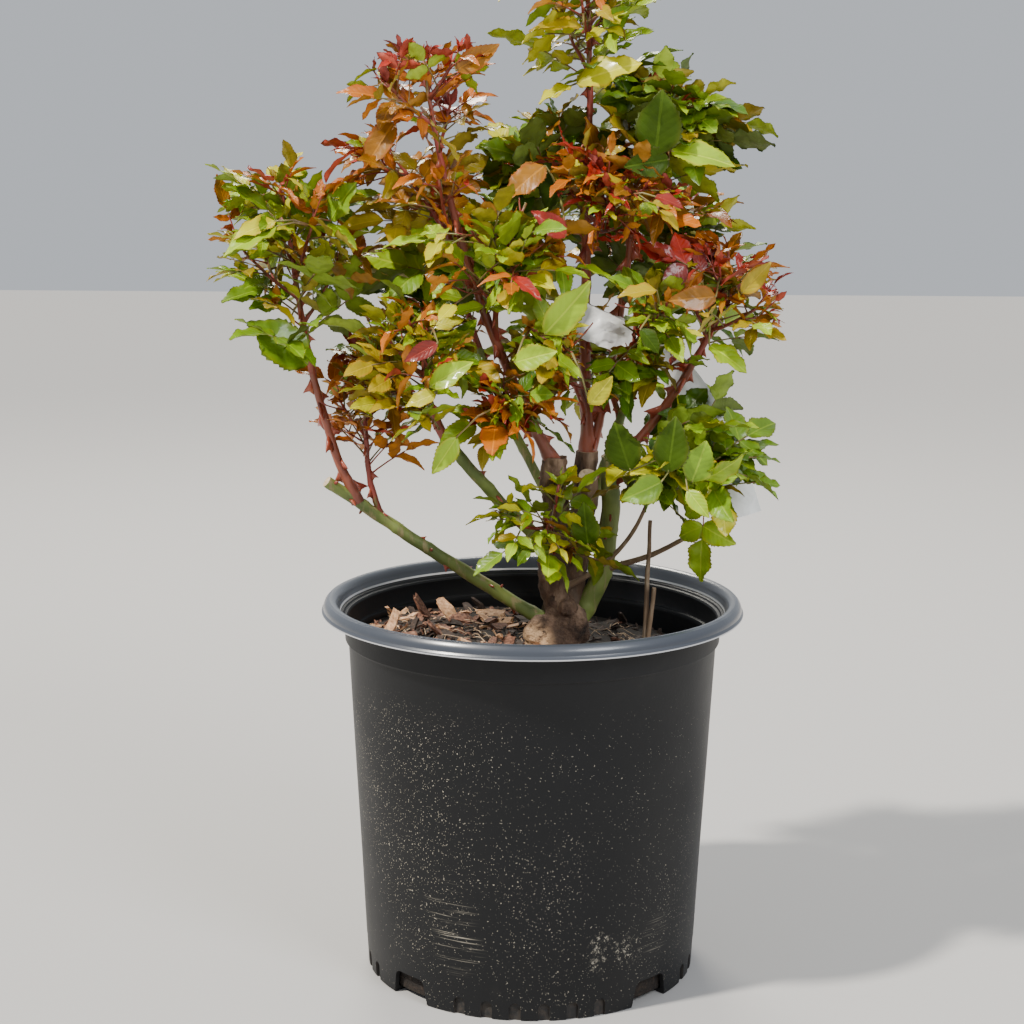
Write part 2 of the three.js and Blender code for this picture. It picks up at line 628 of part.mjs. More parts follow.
// A mass: its stem, the side shoots and the leaves that its seeded rule keeps.
class Mass {
  constructor(row, limbs, others) {
    this.row = row;
    this.parent = limbs[row.on];
    this.dice = new Dice(row.seed);
    this.fromTip = row.at === undefined;
    this.habit = this.fromTip ? LEADER : BRANCH;
    const share = this.fromTip ? 1 : row.at;
    const heading = this.parent.curve.getTangentAt(share);
    this.foot = this.parent.curve.getPointAt(share);
    if (this.fromTip) this.foot.addScaledVector(heading, GAP);
    this.space = new Space(this.foot, row);
    this.obstacles = others;
    this.heading = heading;
  }
  grow(spaces) {
    this.neighbours = spaces.filter((space) => space !== this.space);
    const tip = vector(this.row.tip);
    const reach = this.foot.distanceTo(tip);
    const middle = this.foot.clone().addScaledVector(this.heading, reach * this.habit.straight);
    this.stem = new THREE.QuadraticBezierCurve3(this.foot, middle, tip);
    this.twigs = [{ curve: this.stem, start: this.habit.bare, share: 1 }];
    this.growShoots();
    this.leaves = [];
    for (const twig of this.twigs) this.growLeaves(twig);
  }
  growShoots() {
    const { shoots, girth } = this.row;
    let turn = this.dice.between(0, 2 * Math.PI);
    for (let i = 0; i < shoots; i++) {
      const share = SHOOT.lowest + ((SHOOT.highest - SHOOT.lowest) * (i + 0.5)) / shoots;
      const length = girth * this.dice.between(SHOOT.shortest, SHOOT.longest);
      turn += GOLDEN_TURN;
      this.tryShoot(share, length * (SHOOT.atFoot - SHOOT.shortening * share), turn);
    }
  }
  // Adds the side shoot at the first turn that leaves it free.
  tryShoot(share, length, turn) {
    const foot = this.stem.getPointAt(share);
    const axis = this.stem.getTangentAt(share);
    for (let attempt = 0; attempt < TRIES; attempt++) {
      const reach = length * (1 - SHRINK * attempt);
      const angle = THREE.MathUtils.degToRad(SHOOT.angle);
      const direction = directionRound(axis, angle, turn + attempt * GOLDEN_TURN);
      const middle = foot.clone().addScaledVector(direction, reach / 2);
      const tip = foot.clone().addScaledVector(direction, reach).addScaledVector(UP, reach * SHOOT.lift);
      const curve = new THREE.QuadraticBezierCurve3(foot, middle, tip);
      const points = curve.getSpacedPoints(4).slice(1);
      const crowded = this.twigs.slice(1).some((twig) => twig.curve.v2.distanceTo(tip) < SHOOT.spacing);
      if (crowded || !this.isFree(points)) continue;
      this.twigs.push({ curve, start: SHOOT.bare, share: LEAF_SIZE.onShoots });
      return;
    }
  }
  growLeaves({ curve, start, share }) {
    const length = curve.getLength();
    const count = Math.max(2, Math.round((length * (1 - start)) / INTERNODE));
    let turn = this.dice.between(0, 2 * Math.PI);
    for (let i = 0; i <= count; i++) {
      const place = start + ((LAST_NODE - start) * i) / count;
      const vigour = this.dice.between(LEAF_SIZE.least, LEAF_SIZE.most);
      const size = this.row.leaf * share * vigour * (LEAF_SIZE.atFoot - LEAF_SIZE.shrinking * place);
      const spread = i === count ? LAST_ANGLE : 1;
      const angle = THREE.MathUtils.degToRad(LEAF_ANGLE * spread * this.dice.between(0.85, 1.15));
      const roll = this.dice.between(-LEAF_ROLL, LEAF_ROLL);
      turn += GOLDEN_TURN;
      this.tryLeaf(curve, place, { size, angle, roll, turn });
    }
  }
  // Adds the leaf at the first turn that leaves it free.
  tryLeaf(curve, place, { size, angle, roll, turn }) {
    const foot = curve.getPointAt(place);
    const axis = curve.getTangentAt(place);
    for (let attempt = 0; attempt < TRIES; attempt++) {
      const direction = directionRound(axis, angle, turn + attempt * GOLDEN_TURN);
      const leaf = new Leaf(foot, direction, size * (1 - SHRINK * attempt), roll);
      if (this.leaves.some((other) => other.isNear(leaf)) || !this.isFree(leaf.samples)) continue;
      this.leaves.push(leaf);
      return;
    }
  }
  // Whether all of these points lie in this mass's own space and clear of every limb.
  isFree(points) {
    return points.every((point) => {
      const depth = this.space.depthOf(point);
      if (depth > 1) return false;
      if (this.neighbours.some((space) => space.depthOf(point) < depth + SPACE_MARGIN)) return false;
      return this.obstacles.every((limb) => limb.distanceTo(point) > LEAF_CLEARANCE);
    });
  }
  solid() {
    const tipRadius = this.parent.radii[1];
    const footRadius = this.fromTip ? tipRadius : Math.min(BRANCH.foot, tipRadius);
    let stem = taperedLimb(this.stem, footRadius, STEM.tip, STEM.sides, STEM.steps);
    if (!this.fromTip) stem = largest(stem.subtract(this.parent.solid(GAP)));
    const shoots = this.twigs
      .slice(1)
      .map(({ curve }) => taperedLimb(curve, SHOOT.foot, SHOOT.tip, SHOOT.sides, SHOOT.steps));
    const leaves = this.leaves.map((leaf) => leaf.solid());
    return largest(join([stem, ...shoots, ...leaves]).simplify(SIMPLIFY));
  }
}

function mesh(name, solid, colour, roughness) {
  const material = new THREE.MeshStandardMaterial({ color: colour, roughness, metalness: 0 });
  const piece = new THREE.Mesh(geometryOf(solid), material);
  piece.name = name;
  return piece;
}

const group = new THREE.Group();
const limbs = growLimbs();
const tail = labelTail();

const obstacles = [...Object.values(limbs), ...labelGuards(tail.line)];

group.add(mesh("pot", makePot(), COLOURS.pot, 0.45));
group.add(mesh("soil", makeSoil(Object.values(limbs)), COLOURS.soil, 0.95));

const cut = [];
group.add(mesh("trunk", limbs.trunk.solid(), COLOURS.bark, 0.9));
cut.push(limbs.trunk);
for (const row of LIMBS) {
  const limb = limbs[row.name];
  const solid = cut.reduce((left, earlier) => left.subtract(earlier.solid(GAP)), limb.solid());
  group.add(mesh(row.name, largest(solid), COLOURS[row.bark], 0.8));
  cut.push(limb);
}

group.add(mesh("label_loop", labelLoopSolid(), COLOURS.label, 0.6));
group.add(mesh("label_tail", tail.solid, COLOURS.label, 0.6));

const masses = MASSES.map((row) => new Mass(row, limbs, obstacles));
const spaces = masses.map((mass) => mass.space);
for (const mass of masses) {
  mass.grow(spaces);
  group.add(mesh(mass.row.name, mass.solid(), COLOURS[mass.row.colour], 0.5));
}

export default group;
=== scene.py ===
# %% [markdown]
# # A young rose bush in its nursery pot
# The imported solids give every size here. This lesson puts the real surfaces on them: a thin black pot with a
# rolled rim, bark chips, knobbly old wood, prickly canes and toothed leaves that shade from green to crimson.

import json
from math import cos, exp, hypot, pi, radians, sin

import bpy
import numpy as np
from mathutils import Matrix, Quaternion, Vector, noise

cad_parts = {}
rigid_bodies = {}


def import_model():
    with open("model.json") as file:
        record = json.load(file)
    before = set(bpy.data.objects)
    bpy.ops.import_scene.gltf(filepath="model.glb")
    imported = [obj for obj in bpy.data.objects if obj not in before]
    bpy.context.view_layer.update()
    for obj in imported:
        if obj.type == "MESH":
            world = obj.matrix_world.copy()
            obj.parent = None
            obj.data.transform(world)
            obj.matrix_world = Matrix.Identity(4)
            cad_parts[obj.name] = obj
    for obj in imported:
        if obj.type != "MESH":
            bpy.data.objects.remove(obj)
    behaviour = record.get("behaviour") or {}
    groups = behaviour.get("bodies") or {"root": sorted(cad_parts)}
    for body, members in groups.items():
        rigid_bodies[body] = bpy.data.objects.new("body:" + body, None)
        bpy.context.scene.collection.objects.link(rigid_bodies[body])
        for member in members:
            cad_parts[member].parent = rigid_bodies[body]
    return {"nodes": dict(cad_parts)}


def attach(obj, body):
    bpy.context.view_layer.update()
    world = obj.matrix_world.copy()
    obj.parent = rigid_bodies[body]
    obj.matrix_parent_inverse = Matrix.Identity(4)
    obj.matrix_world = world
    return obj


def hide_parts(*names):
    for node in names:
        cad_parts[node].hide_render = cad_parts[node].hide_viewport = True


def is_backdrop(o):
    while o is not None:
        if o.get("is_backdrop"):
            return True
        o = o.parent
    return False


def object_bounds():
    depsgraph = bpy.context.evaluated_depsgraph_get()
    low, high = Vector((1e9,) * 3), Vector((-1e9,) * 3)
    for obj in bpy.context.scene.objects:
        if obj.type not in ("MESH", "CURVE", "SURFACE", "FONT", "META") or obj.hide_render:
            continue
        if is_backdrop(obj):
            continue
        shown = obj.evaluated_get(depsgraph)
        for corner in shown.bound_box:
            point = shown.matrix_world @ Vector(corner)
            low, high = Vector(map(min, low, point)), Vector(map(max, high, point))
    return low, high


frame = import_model()
cad_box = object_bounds()
print("solids:", len(frame["nodes"]), "box:", [[round(x, 4) for x in corner] for corner in cad_box])

# %% [markdown]
# ## Small helpers
# Sizes are thought of in millimetres and stored in metres. An operator works on whatever is selected, so each
# piece starts from an empty selection, and edit mode is entered with all or nothing selected, as a rule.

# %% Selecting, naming and keeping a piece
MM = 0.001
UP = Vector((0, 0, 1))


def select_only(*objects):
    bpy.ops.object.select_all(action="DESELECT")
    for thing in objects:
        thing.select_set(True)
    if objects:
        bpy.context.view_layer.objects.active = objects[0]


def begin():
    if bpy.context.object and bpy.context.object.mode != "OBJECT":
        bpy.ops.object.mode_set(mode="OBJECT")
    bpy.ops.object.select_all(action="DESELECT")


def edit(select="SELECT", kind=None):
    """Enters edit mode with all or nothing selected, as "SELECT" or "DESELECT" says."""
    bpy.ops.object.mode_set(mode="EDIT")
    if kind:
        bpy.ops.mesh.select_mode(type=kind)
    bpy.ops.mesh.select_all(action=select)


def leave_edit(face_outwards=False):
    if face_outwards:
        bpy.ops.mesh.select_all(action="SELECT")
        bpy.ops.mesh.normals_make_consistent(inside=False)
    bpy.ops.object.mode_set(mode="OBJECT")


def paint(piece, *finishes):
    for finish in finishes:
        piece.data.materials.append(finish)
    return piece


def place_in_mesh(thing):
    """Moves the object's place, turn and size into its mesh, so that the object itself sits at the origin."""
    select_only(thing)
    bpy.ops.object.transform_apply(location=True, rotation=True, scale=True)


def keep(piece, name, slot, *nodes):
    """Names a finished piece, lets it ride on the pot's body and stand for its solids."""
    piece.name = name
    piece.data.name = name
    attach(piece, "root")
    if nodes:
        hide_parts(*nodes)
    triangles = sum(len(face.vertices) - 2 for face in piece.data.polygons)
    print(f"{name}: {triangles} triangles")


def finish_edges(piece, angle):
    """Shades the piece smooth, apart from edges sharper than the angle."""
    select_only(piece)
    bpy.ops.object.shade_smooth_by_angle(angle=radians(angle))


# %% A mesh from arrays, for things that come in hundreds
def mesh_piece(name, points, triangles, finishes, slots=None, across=None):
    """A mesh of triangles. `slots` gives each triangle's finish and `across` a flat place for each corner."""
    mesh = bpy.data.meshes.new(name)
    mesh.vertices.add(len(points))
    mesh.vertices.foreach_set("co", (np.asarray(points, np.float32) * MM).ravel())
    mesh.loops.add(triangles.size)
    mesh.loops.foreach_set("vertex_index", triangles.astype(np.int32).ravel())
    mesh.polygons.add(len(triangles))
    mesh.polygons.foreach_set("loop_start", np.arange(0, triangles.size, 3, dtype=np.int32))
    mesh.polygons.foreach_set("loop_total", np.full(len(triangles), 3, np.int32))
    for finish in finishes:
        mesh.materials.append(finish)
    if slots is not None:
        mesh.polygons.foreach_set("material_index", np.asarray(slots, np.int32))
    mesh.polygons.foreach_set("use_smooth", np.ones(len(triangles), bool))
    if across is not None:
        layer = mesh.uv_layers.new(name="blade")
        layer.data.foreach_set("uv", np.asarray(across, np.float32)[triangles.ravel()].ravel())
    mesh.update(calc_edges=True)
    mesh.validate()
    piece = bpy.data.objects.new(name, mesh)
    bpy.context.scene.collection.objects.link(piece)
    return piece


class Heap:
    """Points and triangles that are gathered piece by piece and made into one mesh at the end."""

    def __init__(self):
        self.points, self.triangles, self.slots, self.across, self.count = [], [], [], [], 0

    def add(self, points, triangles, slots=0, across=None):
        self.points.append(points)
        self.triangles.append(triangles + self.count)
        self.slots.append(np.broadcast_to(slots, len(triangles)))
        self.across.append(np.zeros((len(points), 2)) if across is None else across)
        self.count += len(points)

    def piece(self, name, finishes):
        arrays = (np.concatenate(part) for part in (self.points, self.triangles, self.slots, self.across))
        points, triangles, slots, across = arrays
        return mesh_piece(name, points, triangles, finishes, slots, across)


# %% [markdown]
# ## Camera, light and floor
# The camera stands where the photograph was taken from: 1.3 m in front of the pot and 0.55 m up, looking ten
# degrees down. A slightly softened sun from the upper left is the brightest light. A pale sky and two weak lamps,
# one at the front right and one behind, fill the shadows.

# %% Camera
CAMERA = {"place": (0, -1336.36, 554.32), "pitch": 0.181474, "roll": 0.0055524, "yaw": -0.0104075, "focus": 2053.52}
FRAME_PIXELS, SENSOR_WIDTH = 1024, 36


def add_camera():
    pitch, roll, yaw = CAMERA["pitch"], CAMERA["roll"], CAMERA["yaw"]
    forward = Vector((sin(yaw) * cos(pitch), cos(yaw) * cos(pitch), -sin(pitch)))
    level = Vector((cos(yaw), -sin(yaw), 0))
    upright = level.cross(forward)
    right = level * cos(roll) + upright * sin(roll)
    above = upright * cos(roll) - level * sin(roll)
    begin()
    bpy.ops.object.camera_add(location=Vector(CAMERA["place"]) * MM)
    camera = bpy.context.object
    camera.rotation_euler = Matrix((right, above, -forward)).transposed().to_euler()
    camera.data.sensor_width = SENSOR_WIDTH
    camera.data.lens = CAMERA["focus"] / FRAME_PIXELS * SENSOR_WIDTH
    bpy.context.scene.camera = camera
    print("camera lens:", round(camera.data.lens, 2))


add_camera()


# %% Lights
SUN = {"towards": (-0.55, -0.3, 0.78), "strength": 5.5, "angle": 4, "colour": (1, 0.95, 0.86)}
LAMPS = [
    # place, aim, size in metres, watts, colour
    ((1.3, -1.6, 1.7), (0, 0, 0.42), 1.0, 40, (0.95, 0.97, 1)),
    ((-0.3, 1.7, 1.9), (0, 0, 0.45), 0.8, 40, (1, 0.96, 0.86)),
]
SKY = {"colour": (0.88, 0.93, 1), "strength": 0.62}


def add_sun():
    begin()
    bpy.ops.object.light_add(type="SUN")
    sun = bpy.context.object
    sun.data.energy, sun.data.angle, sun.data.color = SUN["strength"], radians(SUN["angle"]), SUN["colour"]
    sun.rotation_euler = Vector(SUN["towards"]).to_track_quat("Z", "Y").to_euler()


def add_lamp(place, aim, size, watts, colour):
    begin()
    bpy.ops.object.light_add(type="AREA", location=place)
    lamp = bpy.context.object
    lamp.data.shape = "DISK"
    lamp.data.size, lamp.data.energy, lamp.data.color = size, watts, colour
    lamp.rotation_euler = (Vector(aim) - Vector(place)).to_track_quat("-Z", "Y").to_euler()


def add_sky():
    world = bpy.data.worlds.new("pale_sky")
    bpy.context.scene.world = world
    world.use_nodes = True
    sky = world.node_tree.nodes["Background"]
    sky.inputs["Color"].default_value = (*SKY["colour"], 1)
    sky.inputs["Strength"].default_value = SKY["strength"]


add_sun()
for lamp in LAMPS:
    add_lamp(*lamp)
add_sky()
print("lights:", 1 + len(LAMPS), "and the sky")

# %% [markdown]
# ## Finishes
# A material's pattern is worked out from a few numbers that vary over the surface. Python's own signs are taught to
# work on those numbers, so a mask reads like a line of arithmetic.


# %% Shader arithmetic
class Wire:
    """An output socket that sums can be done on."""

    def __init__(self, finish, socket):
        self.finish, self.socket = finish, socket

    def sum(self, operation, other, swapped=False):
        pair = (other, self) if swapped else (self, other)
        return self.finish.node("ShaderNodeMath", {"operation": operation}, {0: pair[0], 1: pair[1]})

    def __add__(self, other):
        return self.sum("ADD", other)

    def __sub__(self, other):
        return self.sum("SUBTRACT", other)

    def __rsub__(self, other):
        return self.sum("SUBTRACT", other, swapped=True)

    def __mul__(self, other):
        return self.sum("MULTIPLY", other)

    def __pow__(self, other):
        return self.sum("POWER", other)

    __radd__ = __add__
    __rmul__ = __mul__


class Finish:
    """A material with one Principled shader. What is the same all over is set on the shader itself."""

    def __init__(self, name, **constants):
        self.material = bpy.data.materials.new(name)
        self.material.use_nodes = True
        self.tree = self.material.node_tree
        self.shader = self.tree.nodes["Principled BSDF"]
        for socket, value in constants.items():
            self.shader.inputs[socket.replace("_", " ")].default_value = value

    def node(self, kind, settings=None, inputs=None, output=0):
        """Any node: its settings first, then the values or wires of its sockets."""
        node = self.tree.nodes.new(kind)
        for key, value in (settings or {}).items():
            if key == "stops":
                ramp = node.color_ramp
                ramp.elements[0].position, ramp.elements[1].position = value[0][0], value[-1][0]
                for place, _ in value[1:-1]:
                    ramp.elements.new(place)
                for element, (_, colour) in zip(ramp.elements, value):
                    element.color = (*colour, 1)
            else:
                setattr(node, key, value)
        for key, value in (inputs or {}).items():
            if isinstance(value, Wire):
                self.tree.links.new(value.socket, node.inputs[key])
            else:
                node.inputs[key].default_value = value
        return Wire(self, node.outputs[output])

    def place(self, stretch=(1, 1, 1)):
        """Where on the piece a point is, in metres, stretched so that a pattern is drawn out."""
        spot = self.node("ShaderNodeTexCoord", output=3)
        return self.node("ShaderNodeMapping", {}, {"Vector": spot, "Scale": stretch})

    def height(self):
        return self.node("ShaderNodeSeparateXYZ", {}, {0: self.place()}, output=2)

    def near(self, spot, radius):
        """1 in the inner third of a round spot given in millimetres, fading to 0 at its radius."""
        inputs = {0: self.place(), 1: tuple(coordinate * MM for coordinate in spot)}
        away = self.node("ShaderNodeVectorMath", {"operation": "DISTANCE"}, inputs, output=1)
        return self.step(away, radius * MM, radius * MM * 0.35)

    def near_any(self, spots):
        """The sum of several such spots."""
        first, *others = (self.near(*spot) for spot in spots)
        for other in others:
            first = first + other
        return first

    def grain(self, scale, detail=2.0, stretch=(1, 1, 1), roughness=0.5):
        """Cloudy noise from 0 to 1, `scale` lumps to a metre."""
        values = {"Vector": self.place(stretch), "Scale": scale, "Detail": detail, "Roughness": roughness}
        return self.node("ShaderNodeTexNoise", {}, values)

    def ramp(self, wire, stops):
        return self.node("ShaderNodeValToRGB", {"stops": stops}, {"Fac": wire})

    def step(self, wire, low, high):
        """0 below `low`, 1 above `high` and smooth between them."""
        inputs = {0: wire, 1: low, 2: high, 3: 0.0, 4: 1.0}
        return self.node("ShaderNodeMapRange", {"interpolation_type": "SMOOTHSTEP"}, inputs)

    def mix(self, mask, first, second):
        """Colour `first` where the mask is 0 and `second` where it is 1."""
        first, second = (colour if isinstance(colour, Wire) else (*colour, 1) for colour in (first, second))
        return self.node("ShaderNodeMix", {"data_type": "RGBA"}, {0: mask, 6: first, 7: second}, output=2)

    def feed(self, socket, wire):
        self.tree.links.new(wire.socket, self.shader.inputs[socket])

    def relief(self, height, depth, strength=1.0):
        """Raises the surface by `height` times `depth`, in metres."""
        bump = self.node("ShaderNodeBump", {}, {"Height": height, "Distance": depth, "Strength": strength})
        self.feed("Normal", bump)


# %% [markdown]
# The pot is thin recycled plastic, nearly black and satin, blown over with pale potting dust. Dust settles in
# specks, and the wall carries fine level scratches from being slid against other pots. The rolled rim is coloured
# a lighter bluish grey as a painted sheen, and a thin white line along its flange is a painted highlight.


# %% Pot plastic
# The rim's lighter bluish grey is a painted sheen, and the near-white is a painted highlight line along the flange.
WALL_BLACK, PAINTED_RIM_SHEEN = (0.005, 0.0054, 0.0064), (0.042, 0.049, 0.064)
PAINTED_HIGHLIGHT_WHITE, DUST_TAN = (0.7, 0.71, 0.74), (0.38, 0.345, 0.28)
SCRATCHED = [((-51, -102, 71), 25), ((-46, -103, 46), 24), ((82, -78, 46), 18)]
SCUFFED = [((45, -104, 49), 11), ((63, -94, 42), 15), ((44, -104, 35), 9)]


def pot_dust(finish, height):
    """Specks that thicken smoothly in two places, a thin drift, level scratches and fluffy scuffs."""
    below_band = finish.step(height, 0.222, 0.17)
    dusty = finish.grain(9, 3) + finish.near((-87, -83, 150), 105) * 0.2 + finish.near((-45, -104, 70), 100) * 0.16
    thick = finish.step(dusty + finish.grain(30, 3) * 0.3, 0.5, 0.98)
    specks = finish.step(finish.grain(960, 1.5) + thick * 0.062, 0.716, 0.758) * below_band
    drift = finish.step(finish.grain(38, 5, roughness=0.65), 0.5, 0.78)
    level = finish.step(finish.grain(34, 4, (0.5, 0.5, 40), 0.6), 0.55, 0.66)
    fluff = finish.step(finish.grain(300, 6, roughness=0.8), 0.53, 0.62)
    scratches, scuffs = level * finish.near_any(SCRATCHED), fluff * finish.near_any(SCUFFED)
    return specks, finish.step(specks + drift * 0.06 + scratches * 0.5 + scuffs * 0.9, 0, 1)


def pot_plastic():
    finish = Finish("black_nursery_plastic", IOR=1.34, Coat_Roughness=0.24)
    height = finish.height()
    specks, dust = pot_dust(finish, height)
    # Painted sheen: from here up, the rim is coloured a lighter bluish grey.
    rim = finish.step(height, 0.2432, 0.2446)
    # Painted highlight: a thin white line along the edge of the flange.
    highlight_line = finish.step(height, 0.2429, 0.2434) * finish.step(height, 0.2446, 0.244)
    plastic = finish.mix(highlight_line * 0.8, finish.mix(rim, WALL_BLACK, PAINTED_RIM_SHEEN), PAINTED_HIGHLIGHT_WHITE)
    finish.feed("Base Color", finish.mix(dust, plastic, DUST_TAN))
    finish.feed("Roughness", 0.42 + finish.grain(24, 4) * 0.16 + dust * 0.35 - rim * 0.12)
    finish.feed("Coat Weight", rim * 0.9 + 0.03)
    finish.relief(finish.grain(420, 3) * 0.5 + specks * 0.8 + finish.grain(26, 2) * 1.6, 0.00012)
    return finish.material


def pot_recess():
    """The inside of a dent: grimy patches, darker than the dust on the wall as painted shade."""
    finish = Finish("grimy_shaded_recess_plastic", IOR=1.5)
    grime_and_shade = finish.step(finish.grain(260, 4), 0.35, 0.7)
    finish.feed("Base Color", finish.mix(grime_and_shade, (0.008, 0.0075, 0.0075), (0.04, 0.032, 0.026)))
    finish.feed("Roughness", 0.6 + grime_and_shade * 0.25)
    finish.relief(finish.grain(500, 3), 0.0002)
    return finish.material


def pot_shade():
    """Painted shade: a near-black finish for the inside of a drain notch, where no light falls."""
    return Finish("painted_shade_notch_plastic", Roughness=0.8, Base_Color=(0.004, 0.004, 0.0045, 1)).material


POT_FINISHES = [pot_plastic(), pot_recess(), pot_shade()]
RECESS_PLACE, SHADE_PLACE = 1, 2
print("finishes:", ", ".join(finish.name for finish in POT_FINISHES))

# %% [markdown]
# ## The pot
# A thrown shape can be drawn up ring by ring: a circle is extruded up the wall, out over the rim and down the
# inside, each ring resized to its radius. The rim is the telling part: a thin flange with a fat roll on it, and
# two ledges just inside where the next pot in a stack would sit.

# %% Wall and rim, ring by ring
POT_SIDES = 144
FOOT_RADIUS = 110.5
WALL_TOP_RADIUS = 122.5
POT_RINGS = [
    # radius and height of each ring, up the outside, round the rim and down the inside
    (FOOT_RADIUS, 0.9), (FOOT_RADIUS + 1, 20), (FOOT_RADIUS + 1.25, 21), (114.4, 75), (118.0, 140), (120.6, 190),
    (WALL_TOP_RADIUS - 0.2, 223.6), (WALL_TOP_RADIUS + 0.3, 224.8), (124.2, 225.3), (124.6, 226.1), (124.9, 234),
    (125.1, 241.2), (125.8, 242.2), (128, 242.9), (136.4, 243.2), (139.5, 243.3), (140, 243.8), (139.95, 244.8),
    (139.4, 245.4), (138.9, 246.2), (138.7, 248.1), (137.9, 250.1), (136.4, 251.7), (134.6, 252.45), (132.8, 252.3),
    (131.1, 251.4), (129.9, 249.9), (129.2, 247.6), (128.5, 244.9), (127.2, 242.6), (125.4, 241.3), (123.4, 240.8),
    (122.7, 239.6), (122.2, 229), (121.6, 227.6), (120.1, 227.0), (119.6, 226), (119.4, 224), (118.0, 205),
    (113.2, 110), (108.4, 22), (107.4, 4.2), (106.2, 3),
]


def draw_up(rings, sides, foot_radius):
    """Extrudes a filled circle through rings of (radius, height) and closes the last one."""
    begin()
    bpy.ops.mesh.primitive_circle_add(vertices=sides, radius=foot_radius * MM, fill_type="NGON")
    edit()
    bpy.ops.mesh.flip_normals()
    edit("DESELECT", "EDGE")
    bpy.ops.mesh.select_non_manifold()
    radius, height = foot_radius, 0
    for next_radius, next_height in rings:
        bpy.ops.mesh.extrude_edges_move(TRANSFORM_OT_translate={"value": (0, 0, (next_height - height) * MM)})
        bpy.ops.transform.resize(value=(next_radius / radius, next_radius / radius, 1))
        radius, height = next_radius, next_height
    bpy.ops.mesh.edge_face_add()
    leave_edit(face_outwards=True)
    return bpy.context.object


pot = paint(draw_up(POT_RINGS, POT_SIDES, FOOT_RADIUS - 0.8), *POT_FINISHES)
print("pot rings:", len(POT_RINGS))

# %% [markdown]
# Round the foot, six dents stand between each pair of drain notches. A dent is modelled once as a rounded cutter and
# copied round the pot. Its inner end is smaller, so that the dent's sides slope as moulded ones do.

# %% Dents and drain notches
DENT = {"width": 8.4, "height": 12.5, "depth": 2, "pitch": 9.6, "per_quarter": 6, "inner_end": (0.86, 1, 0.93)}
NOTCH = {"half_angle": 8.5, "height": 17, "depth": 14, "taper": 3.5, "round": 4}
OVERHANG = 3


def dent_cutter():
    begin()
    half = DENT["width"] / 2
    place = (0, -(FOOT_RADIUS + OVERHANG) * MM, (DENT["height"] - half) * MM)
    upright = {"location": place, "rotation": (pi / 2, 0, 0)}
    bpy.ops.mesh.primitive_circle_add(vertices=16, radius=half * MM, fill_type="NGON", **upright)
    cutter = bpy.context.object
    place_in_mesh(cutter)
    for vertex in cutter.data.vertices:
        if vertex.co.z < place[2] - 0.1 * MM:
            vertex.co.z = -OVERHANG * MM
            vertex.co.x = np.sign(round(vertex.co.x, 6)) * min(abs(vertex.co.x) * 9, half * MM)
    edit()
    bpy.ops.mesh.remove_doubles(threshold=0.05 * MM)
    bpy.ops.mesh.select_all(action="SELECT")
    inwards = (OVERHANG + DENT["depth"]) * MM
    bpy.ops.mesh.extrude_region_move(TRANSFORM_OT_translate={"value": (0, inwards, 0)})
    bpy.ops.transform.resize(value=DENT["inner_end"])
    leave_edit(face_outwards=True)
    return cutter


def notch_cutter():
    begin()
    bpy.ops.mesh.primitive_cube_add(size=1)
    cutter = bpy.context.object
    half = FOOT_RADIUS * sin(radians(NOTCH["half_angle"]))
    for vertex in cutter.data.vertices:
        top, outer = vertex.co.z > 0, vertex.co.y < 0
        width = half - NOTCH["taper"] if top else half
        vertex.co.x = np.sign(vertex.co.x) * width * MM
        vertex.co.z = (NOTCH["height"] if top else -OVERHANG) * MM
        vertex.co.y = -(FOOT_RADIUS + (OVERHANG if outer else -NOTCH["depth"])) * MM
    edit("DESELECT", "EDGE")
    leave_edit()
    points = [vertex.co for vertex in cutter.data.vertices]
    for edge in cutter.data.edges:
        a, b = (points[i] for i in edge.vertices)
        edge.select = min(a.z, b.z) > 0 and abs(a.y - b.y) > 1 * MM
    bpy.ops.object.mode_set(mode="EDIT")
    bpy.ops.mesh.bevel(offset=NOTCH["round"] * MM, segments=5)
    leave_edit()
    return cutter


def copy_turned(thing, angle):
    twin = thing.copy()
    twin.data = thing.data.copy()
    bpy.context.scene.collection.objects.link(twin)
    twin.data.transform(Matrix.Rotation(angle, 4, "Z"))
    return twin


def cutters_round_foot():
    """All dents and notches as one piece, each with the finish that its cut shall have."""
    dent, notch = dent_cutter(), notch_cutter()
    for cutter, place in ((dent, RECESS_PLACE), (notch, SHADE_PLACE)):
        for face in paint(cutter, *POT_FINISHES).data.polygons:
            face.material_index = place
    cutters = []
    for quarter in range(4):
        middle = quarter * pi / 2
        for i in range(DENT["per_quarter"]):
            turn = radians((i - (DENT["per_quarter"] - 1) / 2) * DENT["pitch"])
            cutters.append(copy_turned(dent, middle + turn))
        cutters.append(copy_turned(notch, middle + pi / 4))
    bpy.data.objects.remove(dent)
    bpy.data.objects.remove(notch)
    print("cutters:", len(cutters))
    select_only(*cutters)
    bpy.ops.object.join()
    return bpy.context.object


def cut_foot(pot):
    cutter = cutters_round_foot()
    carve = pot.modifiers.new("foot", "BOOLEAN")
    carve.operation = "DIFFERENCE"
    carve.solver = "EXACT"
    carve.object = cutter
    select_only(pot)
    bpy.ops.object.modifier_apply(modifier=carve.name)
    bpy.data.objects.remove(cutter)


cut_foot(pot)
finish_edges(pot, 24)
keep(pot, "nursery_pot", "pot", "pot")

# %% [markdown]
# ## The rule that the bush grows by
# Canes and masses of foliage stand where the solids have them, so their table and their rule are repeated here: a
# limb is one bowed line from its parent to its tip, and a mass fills an egg-shaped space round its stem with shoots
# and leaves at the golden angle. The dice give the same numbers each time.

# %% Dice and bowed lines
GAP = 0.3
GOLDEN_TURN = radians(137.5)


class Dice:
    def __init__(self, seed):
        self.state = seed * 7919 + 1

    def roll(self):
        self.state = self.state * 48271 % 2147483647
        return self.state / 2147483647

    def between(self, low, high):
        return low + (high - low) * self.roll()

    def pick(self, choices):
        return choices[min(int(self.roll() * len(choices)), len(choices) - 1)]


